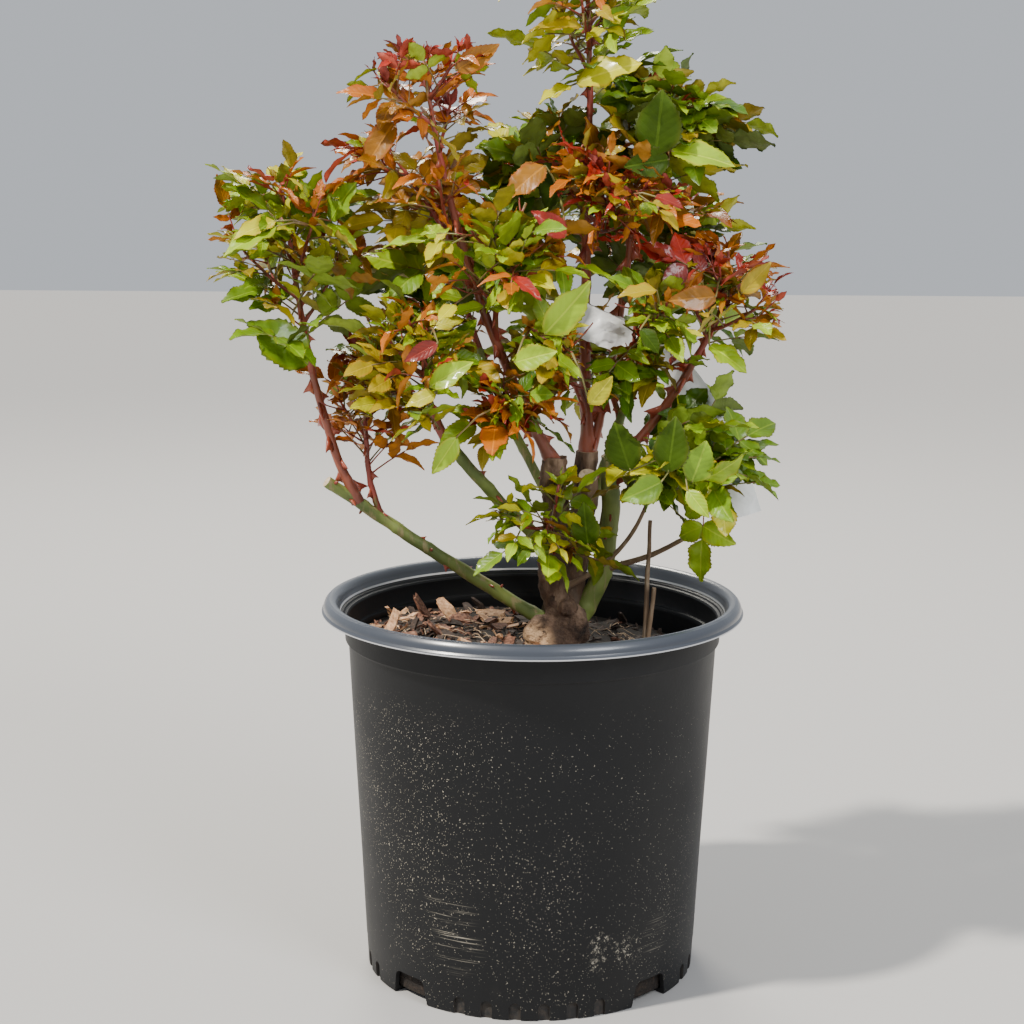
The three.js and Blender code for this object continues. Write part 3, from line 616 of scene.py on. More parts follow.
class BowedLine:
    """A line from foot to tip that leans towards a middle point, measured along its own length."""

    PIECES = 200

    def __init__(self, foot, middle, tip):
        self.foot, self.middle, self.tip = Vector(foot), Vector(middle), Vector(tip)
        t = np.linspace(0, 1, self.PIECES + 1)[:, None]
        foot, middle, tip = np.array(self.foot), np.array(self.middle), np.array(self.tip)
        line = (1 - t) ** 2 * foot + 2 * t * (1 - t) * middle + t**2 * tip
        steps = np.linalg.norm(np.diff(line, axis=0), axis=1)
        self.lengths = np.concatenate([[0], np.cumsum(steps)])
        self.shares = np.linspace(0, 1, self.PIECES + 1)
        self.length = float(self.lengths[-1])

    def share(self, along):
        return float(np.interp(along * self.length, self.lengths, self.shares))

    def at(self, along):
        t = self.share(along)
        return self.foot * (1 - t) ** 2 + self.middle * (2 * t * (1 - t)) + self.tip * t**2

    def heading(self, along):
        t = self.share(along)
        return ((self.middle - self.foot) * (1 - t) + (self.tip - self.middle) * t).normalized()

    def spaced(self, steps):
        return [self.at(i / steps) for i in range(steps + 1)]


# %% Limbs and what stands in a leaf's way
LIMB_STEP = 36
SOIL = {"level": 216, "dome": 4, "tilt": 8, "radius": 118.7}
TRUNK = {"foot": (17, 0), "tip": (14, -4, 347), "bow": (-2, 0, 0), "radii": (9.6, 8)}
BURL = [((14, -2, 224), (19, 17, 17)), ((4, -9, 228), (10, 10, 11)), ((26, -4, 234), (12, 11, 14))]
LIMBS = [
    ("cane_back", "trunk", 0.16, (36, 22, 347), (8, 12, -44), (8.6, 7.4), "old"),
    ("cane_green", "trunk", 0.08, (51, 8, 346), (22, 14, -50), (7.2, 6), "green"),
    ("cane_left", "trunk", 0.1, (-135, -14, 331), (2, 26, -10), (4.6, 3.7), "green"),
    ("cane_left_mid", "trunk", 0.5, (-55, -34, 361), (-2, 0, -4), (4.6, 3.5), "green"),
    ("shoot_left", "cane_left", 0.86, (-143, -18, 403), (-7, 0, 2), (3.3, 2.3), "red"),
    ("cane_centre", "cane_back", 0.97, (34, 0, 567), (-3, 4, -10), (4.4, 2.2), "red"),
    ("cane_left_centre", "trunk", 0.96, (-50, -28, 500), (-9, -2, -6), (3.8, 2.3), "red"),
    ("cane_right", "cane_green", 0.93, (104, -10, 412), (2, 2, -8), (3.3, 2.4), "red"),
    ("cane_right_top", "cane_back", 0.9, (64, 22, 508), (8, 6, -6), (3.2, 2), "red"),
    ("cane_rear_left", "cane_back", 0.45, (-38, 72, 410), (-4, 10, -12), (3.8, 2.5), "green"),
    ("cane_rear_right", "cane_back", 0.6, (78, 80, 420), (2, 8, -12), (3.8, 2.5), "green"),
    ("stub_pale", "cane_back", 0.7, (36, -2, 334), (0, 0, -2), (6.4, 6), "dry"),
    ("twig_arched", "trunk", 0.3, (74, -18, 318), (12, -4, -14), (2, 1.2), "dry"),
    ("stick_dry", (75, -12, 204), 0, (77, -10, 306), (-1, 0, 0), (1.9, 1.3), "dry"),
    ("twig_short", "cane_green", 0.42, (106, -10, 298), (-2, 0, -8), (2.2, 1.4), "dry"),
]


def soil_height(x, y):
    reach = hypot(x, y) / SOIL["radius"]
    return SOIL["level"] + SOIL["dome"] * (1 - reach * reach) - SOIL["tilt"] * x / SOIL["radius"]


class Limb:
    def __init__(self, foot, tip, bow, radii, bark="red", parent=None):
        foot, tip = Vector(foot), Vector(tip)
        self.line = BowedLine(foot, foot.lerp(tip, 0.5) + Vector(bow), tip)
        self.radii, self.bark, self.parent = radii, bark, parent
        self.steps = max(2, round(self.line.length / LIMB_STEP))
        self.points = np.array(self.line.spaced(self.steps))

    def radius(self, along):
        return self.radii[0] + (self.radii[1] - self.radii[0]) * along

    def distance(self, points):
        """How far each of these points is from the limb's surface."""
        starts, runs = self.points[:-1], np.diff(self.points, axis=0)
        offsets = points[:, None] - starts
        shares = np.clip((offsets * runs).sum(2) / (runs * runs).sum(1), 0, 1)
        gaps = np.linalg.norm(offsets - shares[..., None] * runs, axis=2)
        return (gaps - self.radius((np.arange(self.steps) + shares) / self.steps)).min(1)


def grow_limbs():
    foot = (*TRUNK["foot"], soil_height(*TRUNK["foot"]) - 1)
    limbs = {"trunk": Limb(foot, TRUNK["tip"], TRUNK["bow"], TRUNK["radii"], "old")}
    for name, parent, share, tip, bow, radii, bark in LIMBS:
        stands = limbs[parent].line.at(share) if isinstance(parent, str) else parent
        limbs[name] = Limb(stands, tip, bow, radii, bark, limbs.get(parent) if isinstance(parent, str) else None)
    return limbs


limbs = grow_limbs()
print("limbs:", ", ".join(f"{name} {limb.line.length:.0f} mm" for name, limb in limbs.items()))

# %% [markdown]
# ## Potting mix
# The mix is one dark plug with a rough top. What makes it read as bark mix is what lies on it: over a thousand split
# bark chips, dark on the outside and pinkish tan where they broke, with some pale root fibres.


# %% Soil and chip finishes
EARTHY = {
    # finish: its dark, middle and light colour, lumps to a metre, relief in metres, roughness
    "potting_mix": ((0.006, 0.004, 0.003), (0.015, 0.01, 0.007), (0.045, 0.028, 0.018), 260, 0.002, 0.95),
    "bark_chip_dark": ((0.014, 0.009, 0.007), (0.036, 0.021, 0.014), (0.085, 0.05, 0.034), 420, 0.0006, 0.85),
    "bark_chip_brown": ((0.04, 0.018, 0.011), (0.15, 0.063, 0.036), (0.34, 0.17, 0.1), 420, 0.0006, 0.8),
    "bark_chip_tan": ((0.26, 0.12, 0.06), (0.6, 0.34, 0.18), (0.85, 0.59, 0.37), 380, 0.0005, 0.75),
    "root_fibre": ((0.24, 0.16, 0.1), (0.4, 0.28, 0.18), (0.55, 0.42, 0.28), 300, 0.0002, 0.8),
    "cut_wood": ((0.32, 0.22, 0.13), (0.6, 0.47, 0.31), (0.8, 0.7, 0.52), 240, 0.0005, 0.75),
}


def earthy(name, low, middle, high, scale, depth, roughness):
    finish = Finish(name, Roughness=roughness)
    grain = finish.grain(scale, 5, roughness=0.65)
    finish.feed("Base Color", finish.ramp(grain, [(0.3, low), (0.52, middle), (0.74, high)]))
    finish.relief(grain, depth)
    return finish.material


EARTHY_FINISHES = [earthy(name, *row) for name, row in EARTHY.items()]
POTTING_MIX, CHIP_DARK, CHIP_BROWN, CHIP_TAN, ROOT_PALE, CUT_WOOD = EARTHY_FINISHES
print("earthy finishes:", len(EARTHY))


# %% The plug of mix
PLUG = {"foot": 105.6, "side": (106, 16), "rings": 44, "sides": 132, "rise": 3.6, "edge": 6}
LUMP_LENGTH, LUMP_RISE, CLOD_FINER, CLOD_RISE, CRUMB_LENGTH, CRUMB_RISE = 26, 3.2, 2.7, 1.5, 5, 0.9


def crumb(x, y):
    """How much the surface rises or sinks at a spot, in millimetres."""
    spot = Vector((x / LUMP_LENGTH, y / LUMP_LENGTH, 0.3))
    fine = noise.noise(Vector((x / CRUMB_LENGTH, y / CRUMB_LENGTH, 4)))
    return LUMP_RISE * noise.noise(spot) + CLOD_RISE * noise.noise(spot * CLOD_FINER) + CRUMB_RISE * fine


def make_soil():
    """The plug is drawn up like the pot. Then its top gets the slope and the crumbs and its foot is lifted."""
    rings = [(SOIL["radius"] * share, SOIL["level"]) for share in np.linspace(1, 0.02, PLUG["rings"])]
    plug = paint(draw_up([PLUG["side"], *rings], PLUG["sides"], PLUG["foot"]), POTTING_MIX)
    for vertex in plug.data.vertices:
        x, y, z = vertex.co / MM
        if z > SOIL["level"] - 1:
            edge = min(1, max(0, (SOIL["radius"] - hypot(x, y)) / PLUG["edge"]))
            vertex.co.z = (soil_height(x, y) + crumb(x, y) * edge) * MM
        else:
            vertex.co.z += PLUG["rise"] * MM if z < 1 else 0
    finish_edges(plug, 60)
    return plug


keep(make_soil(), "potting_mix_plug", "potting_mix", "soil")


# %% One chip, and a tube
def shape_of(thing):
    """A modelled thing's points in millimetres and its faces as triangles. The thing itself is taken away."""
    mesh = thing.data
    mesh.calc_loop_triangles()
    points = np.zeros(len(mesh.vertices) * 3)
    mesh.vertices.foreach_get("co", points)
    triangles = np.zeros(len(mesh.loop_triangles) * 3, np.int32)
    mesh.loop_triangles.foreach_get("vertices", triangles)
    bpy.data.objects.remove(thing)
    return points.reshape(-1, 3) / MM, triangles.reshape(-1, 3)


CHIP_PROPORTIONS = (1, 0.36, 0.13)


def model_chip(seed):
    """A split chip of bark one unit long, from a cube that is cut once each way and worn down."""
    begin()
    bpy.ops.mesh.primitive_cube_add(size=1 * MM)
    edit()
    bpy.ops.transform.resize(value=CHIP_PROPORTIONS)
    bpy.ops.mesh.subdivide(number_cuts=1)
    leave_edit()
    chip = bpy.context.object
    dice = Dice(seed)
    for vertex in chip.data.vertices:
        taper = 1 - 0.75 * dice.roll() * (abs(vertex.co.x) > 0.3 * MM)
        vertex.co.y *= taper
        vertex.co.z *= 0.6 + 0.5 * dice.roll()
        vertex.co.x += dice.between(-0.09, 0.09) * MM
        vertex.co.z += 0.1 * MM * cos(3 * vertex.co.x / MM + seed)
    return shape_of(chip)


def random_turn(dice, tilt):
    yaw = Quaternion((0, 0, 1), dice.between(0, 2 * pi))
    pitch = Quaternion((0, 1, 0), dice.between(-tilt, tilt))
    return yaw @ pitch @ Quaternion((1, 0, 0), dice.between(-tilt, tilt))


def tube(points, radii, sides):
    """The skin of a round twig along a list of points, closed at both ends."""
    points = [Vector(point) for point in points]
    normal = (points[1] - points[0]).orthogonal().normalized()
    skin = []
    for i, point in enumerate(points):
        before, after = points[max(i - 1, 0)], points[min(i + 1, len(points) - 1)]
        along = (after - before).normalized()
        normal = (normal - along * normal.dot(along)).normalized()
        side = along.cross(normal)
        for k in range(sides):
            turn = 2 * pi * k / sides
            skin.append(point + (normal * cos(turn) + side * sin(turn)) * radii[i])
    skin += [points[0], points[-1]]
    faces, last = [], (len(points) - 1) * sides
    for k in range(sides):
        nearer = (k + 1) % sides
        for ring in range(0, last, sides):
            a, b, c, d = ring + k, ring + nearer, ring + sides + k, ring + sides + nearer
            faces += [(a, b, d), (a, d, c)]
        faces += [(len(skin) - 2, nearer, k), (len(skin) - 1, last + k, last + nearer)]
    return np.array(skin), np.array(faces)


# %% [markdown]
# Most chips lie nearly flat and are small and dark. Tan ones, fresh from splitting, lie only where the sun reaches,
# and the shaded right has fewer chips of any kind. This is painted light: the pale chips are kept in the sun, and the
# shade is left darker. The largest are laid one by one, and the others keep clear of the wood.

# %% Bark chips and fibres
CHIP_COUNT, FIBRE_COUNT = 1500, 150
CHIPS_REACH, FIBRES_REACH = 0.965, 0.9
CHIP_LENGTHS, RARE_LENGTH, CHIP_SINKS = (3, 9), 15, (-0.2, 0.12)
CHIP_SEEDS = (3, 7, 11, 19)
LOW_WOOD, SHADE_FROM, SHADE_BLUR = 260, 8, 12
# Painted light: tan chips, kind 2, lie only in the sun.
CHIP_KINDS = {"sunny": (0, 0, 0, 0, 0, 1, 1, 1, 2), "shady": (0, 0, 0, 0, 0, 1)}
FLAT_SHARE, FLAT_TILT, STEEP_TILT, SHADY_GAPS = 0.78, (0.15, 0.55), 1.25, 0.55
LARGE_WIDER, LARGE_ROLL = (1, 1.3, 1), 0.5
FIBRE = {
    "lengths": (8, 26), "bends": (-1.2, 1.2), "steps": 5, "lift": 1.2, "wave": 1.6, "thick": (0.2, 0.5), "tip": 0.4,
}
LARGE_CHIPS = [
    # where it lies, how long it is, its turn and its tilt, and which finish it has
    ((-95, 11), 17, 0.3, -1.1, 2), ((-99, 52), 14, 1.2, 0.7, 2), ((-77, 59), 19, 0.2, 1.2, 1),
    ((-59, 57), 19, -0.5, 0.8, 2), ((-62, 4), 24, 0.8, 0.5, 1), ((-48, 52), 18, 0.1, 0.1, 1),
    ((-30, 74), 20, -0.1, 0.15, 2), ((-54, 36), 13, 0.6, 0.2, 0), ((-12, 80), 13, 0.5, 0.9, 1),
    ((51, -20), 15, 0.2, 0.1, 1), ((-22, 30), 16, 1.0, 0.3, 1), ((-84, -16), 15, 0.1, -0.4, 1),
]


def lay_large_chips(heap, shapes):
    for number, ((x, y), length, turn, tilt, kind) in enumerate(LARGE_CHIPS):
        points, triangles = shapes[number % len(shapes)]
        turned = Quaternion((0, 0, 1), turn) @ Quaternion((0, 1, 0), tilt) @ Quaternion((1, 0, 0), LARGE_ROLL)
        spot = np.array([[x, y, soil_height(x, y) + 1 + 0.38 * length * abs(sin(tilt))]])
        heap.add((points * length * LARGE_WIDER) @ np.array(turned.to_matrix()).T + spot, triangles, kind)


def scatter_chips():
    dice, heap = Dice(501), Heap()
    shapes = [model_chip(seed) for seed in CHIP_SEEDS]
    lay_large_chips(heap, shapes)
    woody = [limb for limb in limbs.values() if limb.points[0][2] < LOW_WOOD]
    burl = [(Vector(place), max(size)) for place, size in BURL]
    while heap.count < CHIP_COUNT * len(shapes[0][0]):
        reach, turn = SOIL["radius"] * CHIPS_REACH * dice.roll() ** 0.5, dice.between(0, 2 * pi)
        x, y = reach * cos(turn), reach * sin(turn)
        length = dice.between(*CHIP_LENGTHS) + RARE_LENGTH * dice.roll() ** 5
        rise = soil_height(x, y) + crumb(x, y) + dice.between(*CHIP_SINKS) * length
        spot = np.array([[x, y, rise]])
        tilt = dice.between(*FLAT_TILT) if dice.roll() < FLAT_SHARE else STEEP_TILT
        turned = random_turn(dice, tilt).to_matrix()
        # Painted light: to the right, in the shade, no chip is tan and fewer chips lie, so the mix looks darker
        # there.
        shady = x > SHADE_FROM + SHADE_BLUR * dice.roll()
        kind = dice.pick(CHIP_KINDS["shady" if shady else "sunny"])
        points, triangles = shapes[int(dice.between(0, 3.99))]
        if reach + length / 2 > SOIL["radius"] - 1 or any(limb.distance(spot)[0] < 1 for limb in woody):
            continue
        if shady and dice.roll() < SHADY_GAPS:
            continue
        if any((Vector((x, y, rise)) - place).length < size + 1 for place, size in burl):
            continue
        heap.add((points * length) @ np.array(turned).T + spot, triangles, kind)
    return heap.piece("bark_chips", [CHIP_DARK, CHIP_BROWN, CHIP_TAN])


def scatter_fibres():
    dice, heap = Dice(502), Heap()
    for _ in range(FIBRE_COUNT):
        reach, turn = SOIL["radius"] * FIBRES_REACH * dice.roll() ** 0.5, dice.between(0, 2 * pi)
        x, y, way = reach * cos(turn), reach * sin(turn), dice.between(0, 2 * pi)
        length, bend = dice.between(*FIBRE["lengths"]), dice.between(*FIBRE["bends"])
        steps, points = FIBRE["steps"], []
        for i in range(steps + 1):
            x, y, way = x + cos(way) * length / steps, y + sin(way) * length / steps, way + bend / steps
            if hypot(x, y) > SOIL["radius"] - 3:
                break
            lifted = soil_height(x, y) + crumb(x, y) + FIBRE["lift"]
            points.append((x, y, lifted + FIBRE["wave"] * sin(i * 1.3 + way)))
        if len(points) > 2:
            thick = dice.between(*FIBRE["thick"])
            heap.add(*tube(points, [thick] * (len(points) - 1) + [thick * FIBRE["tip"]], 3))
    return heap.piece("root_fibres", [ROOT_PALE])


chips = scatter_chips()
for face in chips.data.polygons:
    face.use_smooth = False
keep(chips, "bark_chips", "potting_mix", "soil")
keep(scatter_fibres(), "root_fibres", "potting_mix", "soil")

# %% [markdown]
# ## Bark and young skin
# Old rose wood is corky and ridged, brown with tan cracks. Canes of last year are dull green with brown lengthwise
# streaks, and this year's shoots are smooth, glossy and wine red on the side that the sun reaches.


# %% Bark finishes
CORK = [(0.3, (0.035, 0.02, 0.012)), (0.5, (0.15, 0.085, 0.05)), (0.7, (0.36, 0.24, 0.155))]
# The burl's cork is darker than the shank's, partly as painted shade, and its tan is a patch of painted sunlight.
BURL_CORK_AND_SHADE = [(0.32, (0.022, 0.012, 0.008)), (0.5, (0.13, 0.074, 0.045)), (0.7, (0.33, 0.21, 0.135))]
WEATHERED, PAINTED_SUN_TAN = (0.2, 0.165, 0.13), (0.66, 0.42, 0.23)


def old_bark():
    """Corky ridges along the wood, weathered grey in patches."""
    finish = Finish("old_rose_bark", Roughness=0.85)
    ridges = finish.grain(120, 5, (1, 1, 0.22), 0.6)
    grey = finish.step(finish.grain(42, 4), 0.48, 0.7) * 0.55
    finish.feed("Base Color", finish.mix(grey, finish.ramp(ridges, CORK), WEATHERED))
    finish.relief(ridges + finish.grain(600, 3) * 0.25, 0.0022)
    return finish.material


def burl_bark():
    """Lumpy cork, darker than the shank's as painted shade, with one pale tan patch of painted sunlight low on its
    front.
    """
    finish = Finish("knobbly_union_bark", Roughness=0.82)
    lumps = finish.grain(75, 5, roughness=0.62)
    # Painted sunlight: a pale tan patch on the front of the burl, low down.
    pale = finish.near((1, -19, 225), 17) * finish.step(finish.grain(150, 5, roughness=0.7), 0.34, 0.5)
    finish.feed("Base Color", finish.mix(pale * 0.85, finish.ramp(lumps, BURL_CORK_AND_SHADE), PAINTED_SUN_TAN))
    finish.relief(lumps + finish.grain(330, 5, roughness=0.7) * 0.9, 0.0036)
    return finish.material


def cane_skin(name, light, dark, streak, roughness, bands=(0.52, 0.68), **shine):
    """Smooth cane skin: two tones of one colour with lengthwise streaks of another."""
    finish = Finish(name, **shine)
    tone = finish.grain(34, 3)
    lines = finish.grain(230, 4, (1, 1, 0.16), 0.6)
    skin = finish.mix(finish.step(tone, 0.35, 0.68), light, dark)
    finish.feed("Base Color", finish.mix(finish.step(lines, *bands) * 0.8, skin, streak))
    finish.feed("Roughness", roughness + tone * 0.15)
    finish.relief(lines, 0.0006)
    return finish.material


CANE_SKINS = {
    # finish: its light, dark and streak colour, its roughness, and where the noise of the streaks begins and ends
    "green_cane_skin": ((0.235, 0.29, 0.065), (0.11, 0.15, 0.036), (0.32, 0.25, 0.12), 0.5),
    "red_cane_skin": ((0.33, 0.085, 0.045), (0.17, 0.045, 0.025), (0.16, 0.12, 0.04), 0.32, (0.56, 0.78)),
    "young_shoot_skin": ((0.31, 0.05, 0.035), (0.2, 0.045, 0.025), (0.14, 0.15, 0.035), 0.34, (0.54, 0.7)),
    "dry_twig_skin": ((0.3, 0.2, 0.12), (0.16, 0.1, 0.06), (0.42, 0.32, 0.22), 0.75),
    "leaf_stalk_skin": ((0.2, 0.2, 0.05), (0.17, 0.09, 0.035), (0.25, 0.07, 0.04), 0.4),
}
GLOSSY = {"red_cane_skin": {"Coat_Weight": 0.2}}
OLD_BARK, BURL_BARK = old_bark(), burl_bark()
SKIN_FINISHES = [cane_skin(name, *row, **GLOSSY.get(name, {})) for name, row in CANE_SKINS.items()]
GREEN_SKIN, RED_SKIN, YOUNG_SKIN, DRY_SKIN, STALK_SKIN = SKIN_FINISHES
SKINS = {"old": OLD_BARK, "green": GREEN_SKIN, "red": RED_SKIN, "dry": DRY_SKIN}
SLOTS = {"old": "old_bark", "green": "green_cane", "red": "red_cane", "dry": "dry_wood"}
print("skins:", 2 + len(SKIN_FINISHES))

# %% [markdown]
# ## Canes
# A cane is a strip of bark rolled round a bowed line. The strip starts as a flat grid, and its rows become rings.
# Each ring gets its radius from the taper, from the collar where the cane leaves its parent, from the nodes where
# leaves once stood, and from the ridges of the bark.

# %% Rolling a cane
RING_STEP = 2.2
BARK = {
    # how deep the bark's ridges are, how many go round, how swollen the nodes are and how far apart they stand
    "old": {"ridge": 0.62, "round": 2.1, "swell": 0.1, "node": 34},
    "green": {"ridge": 0.2, "round": 1.5, "swell": 0.13, "node": 27},
    "red": {"ridge": 0.07, "round": 1.2, "swell": 0.12, "node": 21},
    "dry": {"ridge": 0.3, "round": 1.4, "swell": 0.1, "node": 19},
}
COLLAR = {"swell": 0.42, "reach": 5.5}
RIDGES = {"length": 26, "fine": 0.45, "fine_round": 4.1, "fine_length": 9, "full_from": 5}
ZIGZAG = {"amount": 0.16, "length": 24, "calm_ends": 6}
NODE = {"width": 2.2, "turn": 2.4}
CUT = {"rim": 0.13, "pith": 0.55, "sunk": 0.06}


def ring_radius(limb, along, turn, seed):
    """The cane's radius at a place along it and a turn round it, in millimetres."""
    bark = BARK[limb.bark]
    reach = along * limb.line.length
    radius = limb.radius(along)
    if limb.parent:
        leaves_parent = limb.parent.radii[0] * 0.9
        radius *= 1 + COLLAR["swell"] * exp(-max(0, reach - leaves_parent) / COLLAR["reach"])
    from_node = (reach + seed * 7) % bark["node"] - bark["node"] / 2
    bud_side = 0.6 + 0.4 * cos(turn - seed - reach // bark["node"] * NODE["turn"])
    radius *= 1 + bark["swell"] * exp(-((from_node / NODE["width"]) ** 2)) * bud_side
    spot = Vector((cos(turn) * bark["round"], sin(turn) * bark["round"], reach / RIDGES["length"] + seed * 9))
    fine_round, fine_reach = RIDGES["fine_round"], reach / RIDGES["fine_length"] + seed * 5
    fine = Vector((cos(turn) * fine_round, sin(turn) * fine_round, fine_reach))
    rough_by = noise.noise(spot) + RIDGES["fine"] * noise.noise(fine)
    return radius + bark["ridge"] * rough_by * min(1, radius / RIDGES["full_from"])


def wobble(limb, along, seed):
    """Real canes are never one clean bow: they zigzag a little from node to node."""
    calm = ZIGZAG["calm_ends"]
    amount = ZIGZAG["amount"] * limb.radii[0] * min(1, calm * along) * min(1, calm * (1 - along))
    reach = along * limb.line.length / ZIGZAG["length"]
    return Vector([amount * noise.noise(Vector((reach, seed * 3, axis))) * 2 for axis in (1.5, 4.5, 7.5)])


def roll_cane(limb, seed, sides):
    rings = max(6, round(limb.line.length / RING_STEP))
    begin()
    bpy.ops.mesh.primitive_grid_add(x_subdivisions=sides, y_subdivisions=rings, size=1)
    cane = bpy.context.object
    normal = limb.line.heading(0).orthogonal().normalized()
    places = []
    for row in range(rings + 1):
        along = row / rings
        heading = limb.line.heading(along)
        normal = (normal - heading * normal.dot(heading)).normalized()
        side = heading.cross(normal)
        middle = limb.line.at(along) + wobble(limb, along, seed)
        for column in range(sides + 1):
            turn = 2 * pi * column / sides
            outwards = normal * cos(turn) + side * sin(turn)
            places += [*(middle + outwards * ring_radius(limb, along, turn % (2 * pi), seed)) * MM]
    cane.data.vertices.foreach_set("co", places)
    cane.data.update()
    edit()
    bpy.ops.mesh.remove_doubles(threshold=0.02 * MM)
    edit("DESELECT", "EDGE")
    bpy.ops.mesh.select_non_manifold()
    bpy.ops.mesh.edge_face_add()
    leave_edit(face_outwards=True)
    return cane


def open_cut(cane, limb):
    """Shows wood at the tip: the end face is inset, so that a rim of bark stands round it."""
    paint(cane, CUT_WOOD)
    tip = limb.line.tip * MM
    ends = [face for face in cane.data.polygons if len(face.vertices) > 4]
    near = min(ends, key=lambda face: (face.center - tip).length).index
    select_only(cane)
    edit("DESELECT", "FACE")
    leave_edit()
    cane.data.polygons[near].select = True
    cane.data.polygons[near].material_index = 1
    bpy.ops.object.mode_set(mode="EDIT")
    bpy.ops.mesh.inset(thickness=limb.radii[1] * CUT["rim"] * MM, depth=0)
    bpy.ops.mesh.inset(thickness=limb.radii[1] * CUT["pith"] * MM, depth=-limb.radii[1] * CUT["sunk"] * MM)
    leave_edit()


# %% The canes
DRY_FORK = Limb((74, -13, 208), (80, -16, 262), (1, 0, 0), (1.7, 1.4), "dry")
CUT_LIMBS = ("cane_back", "cane_green", "cane_left", "stub_pale", "twig_short")
THICK, THICK_SIDES, THIN_SIDES, FORK_SIDES, TRUNK_SIDES = 5, 24, 16, 12, 28

for seed, (name, limb) in enumerate(limbs.items()):
    if name == "trunk":
        continue
    cane = paint(roll_cane(limb, seed, THICK_SIDES if limb.radii[0] > THICK else THIN_SIDES), SKINS[limb.bark])
    if name in CUT_LIMBS:
        open_cut(cane, limb)
    if name == "stick_dry":
        fork = paint(roll_cane(DRY_FORK, 40, FORK_SIDES), DRY_SKIN)
        select_only(cane, fork)
        bpy.ops.object.join()
    finish_edges(cane, 50)
    keep(cane, f"{name}_bark", SLOTS[limb.bark], name)

# %% [markdown]
# ## Bud union
# Where the rose was budded onto its rootstock the wood swells into a knobbly burl. Balls and the old shank are
# melted together by a voxel remesh, as clay is, and two layers of cloudy displacement wear the lumps rough.

# %% Burl and shank
VOXEL = 1.1
SHANK_FROM, SHANK_WAVE, SHANK_BEAT = 0.25, 0.006, 600
LUMPS, CRACKS = {"size": 9, "push": 3.4}, {"size": 2.6, "push": 1.3}
BURL_KNOBS = [((4, -12, 236), 6), ((23, -10, 247), 6.5), ((14, -13, 222), 10), ((1, -8, 220), 7), ((30, 0, 226), 8)]


def rough(piece, name, size, push):
    """Pushes the surface in and out by cloudy noise, all in millimetres."""
    texture = bpy.data.textures.new(name, "CLOUDS")
    texture.noise_scale, texture.noise_depth = size * MM, 2
    displace = piece.modifiers.new(name, "DISPLACE")
    displace.texture, displace.texture_coords = texture, "GLOBAL"
    displace.strength, displace.mid_level = push * MM, 0.5
    select_only(piece)
    bpy.ops.object.modifier_apply(modifier=displace.name)


def model_trunk():
    shank = roll_cane(limbs["trunk"], 0, TRUNK_SIDES)
    lumps = [shank]
    for place, size in [*BURL, *((place, (size, size, size)) for place, size in BURL_KNOBS)]:
        begin()
        bpy.ops.mesh.primitive_uv_sphere_add(segments=24, ring_count=16, location=Vector(place) * MM)
        lump = bpy.context.object
        lump.scale = Vector(size) * MM
        place_in_mesh(lump)
        lumps.append(lump)
    select_only(*lumps)
    bpy.ops.object.join()
    trunk = bpy.context.object
    trunk.data.remesh_voxel_size = VOXEL * MM
    trunk.data.remesh_voxel_adaptivity = 0
    bpy.ops.object.voxel_remesh()
    rough(trunk, "burl_lumps", **LUMPS)
    rough(trunk, "burl_cracks", **CRACKS)
    return trunk


def cut_level(piece, height):
    """Takes off what is below a height and closes the cut."""
    select_only(piece)
    edit()
    plane = {"plane_co": (0, 0, height * MM), "plane_no": (0, 0, 1)}
    bpy.ops.mesh.bisect(**plane, use_fill=True, clear_inner=True, clear_outer=False)
    leave_edit()


trunk = paint(model_trunk(), BURL_BARK, OLD_BARK)
cut_level(trunk, limbs["trunk"].line.foot.z)
for face in trunk.data.polygons:
    shank_from = SHANK_FROM + SHANK_WAVE * sin(face.center.x * SHANK_BEAT)
    face.material_index = 1 if face.center.z > shank_from else 0
    face.use_smooth = True
keep(trunk, "trunk_bark", "old_bark", "trunk")

# %% [markdown]
# ## Leaf finishes
# A rose leaf is glossy above, dull and paler below, and its colour tells its age: crimson when it unfolds, then
# bronze and olive, and deep green at last. The undersides are also a brighter yellow-green, painted light that
# shines through the leaf, and the tone called shade is painted shade: a darker, duller green for large leaves in
# shadow. Each tone is a plain colour of its own, dealt out spray by spray. The veins follow the leaflet's own flat
# map, where one axis runs from its foot to its tip.

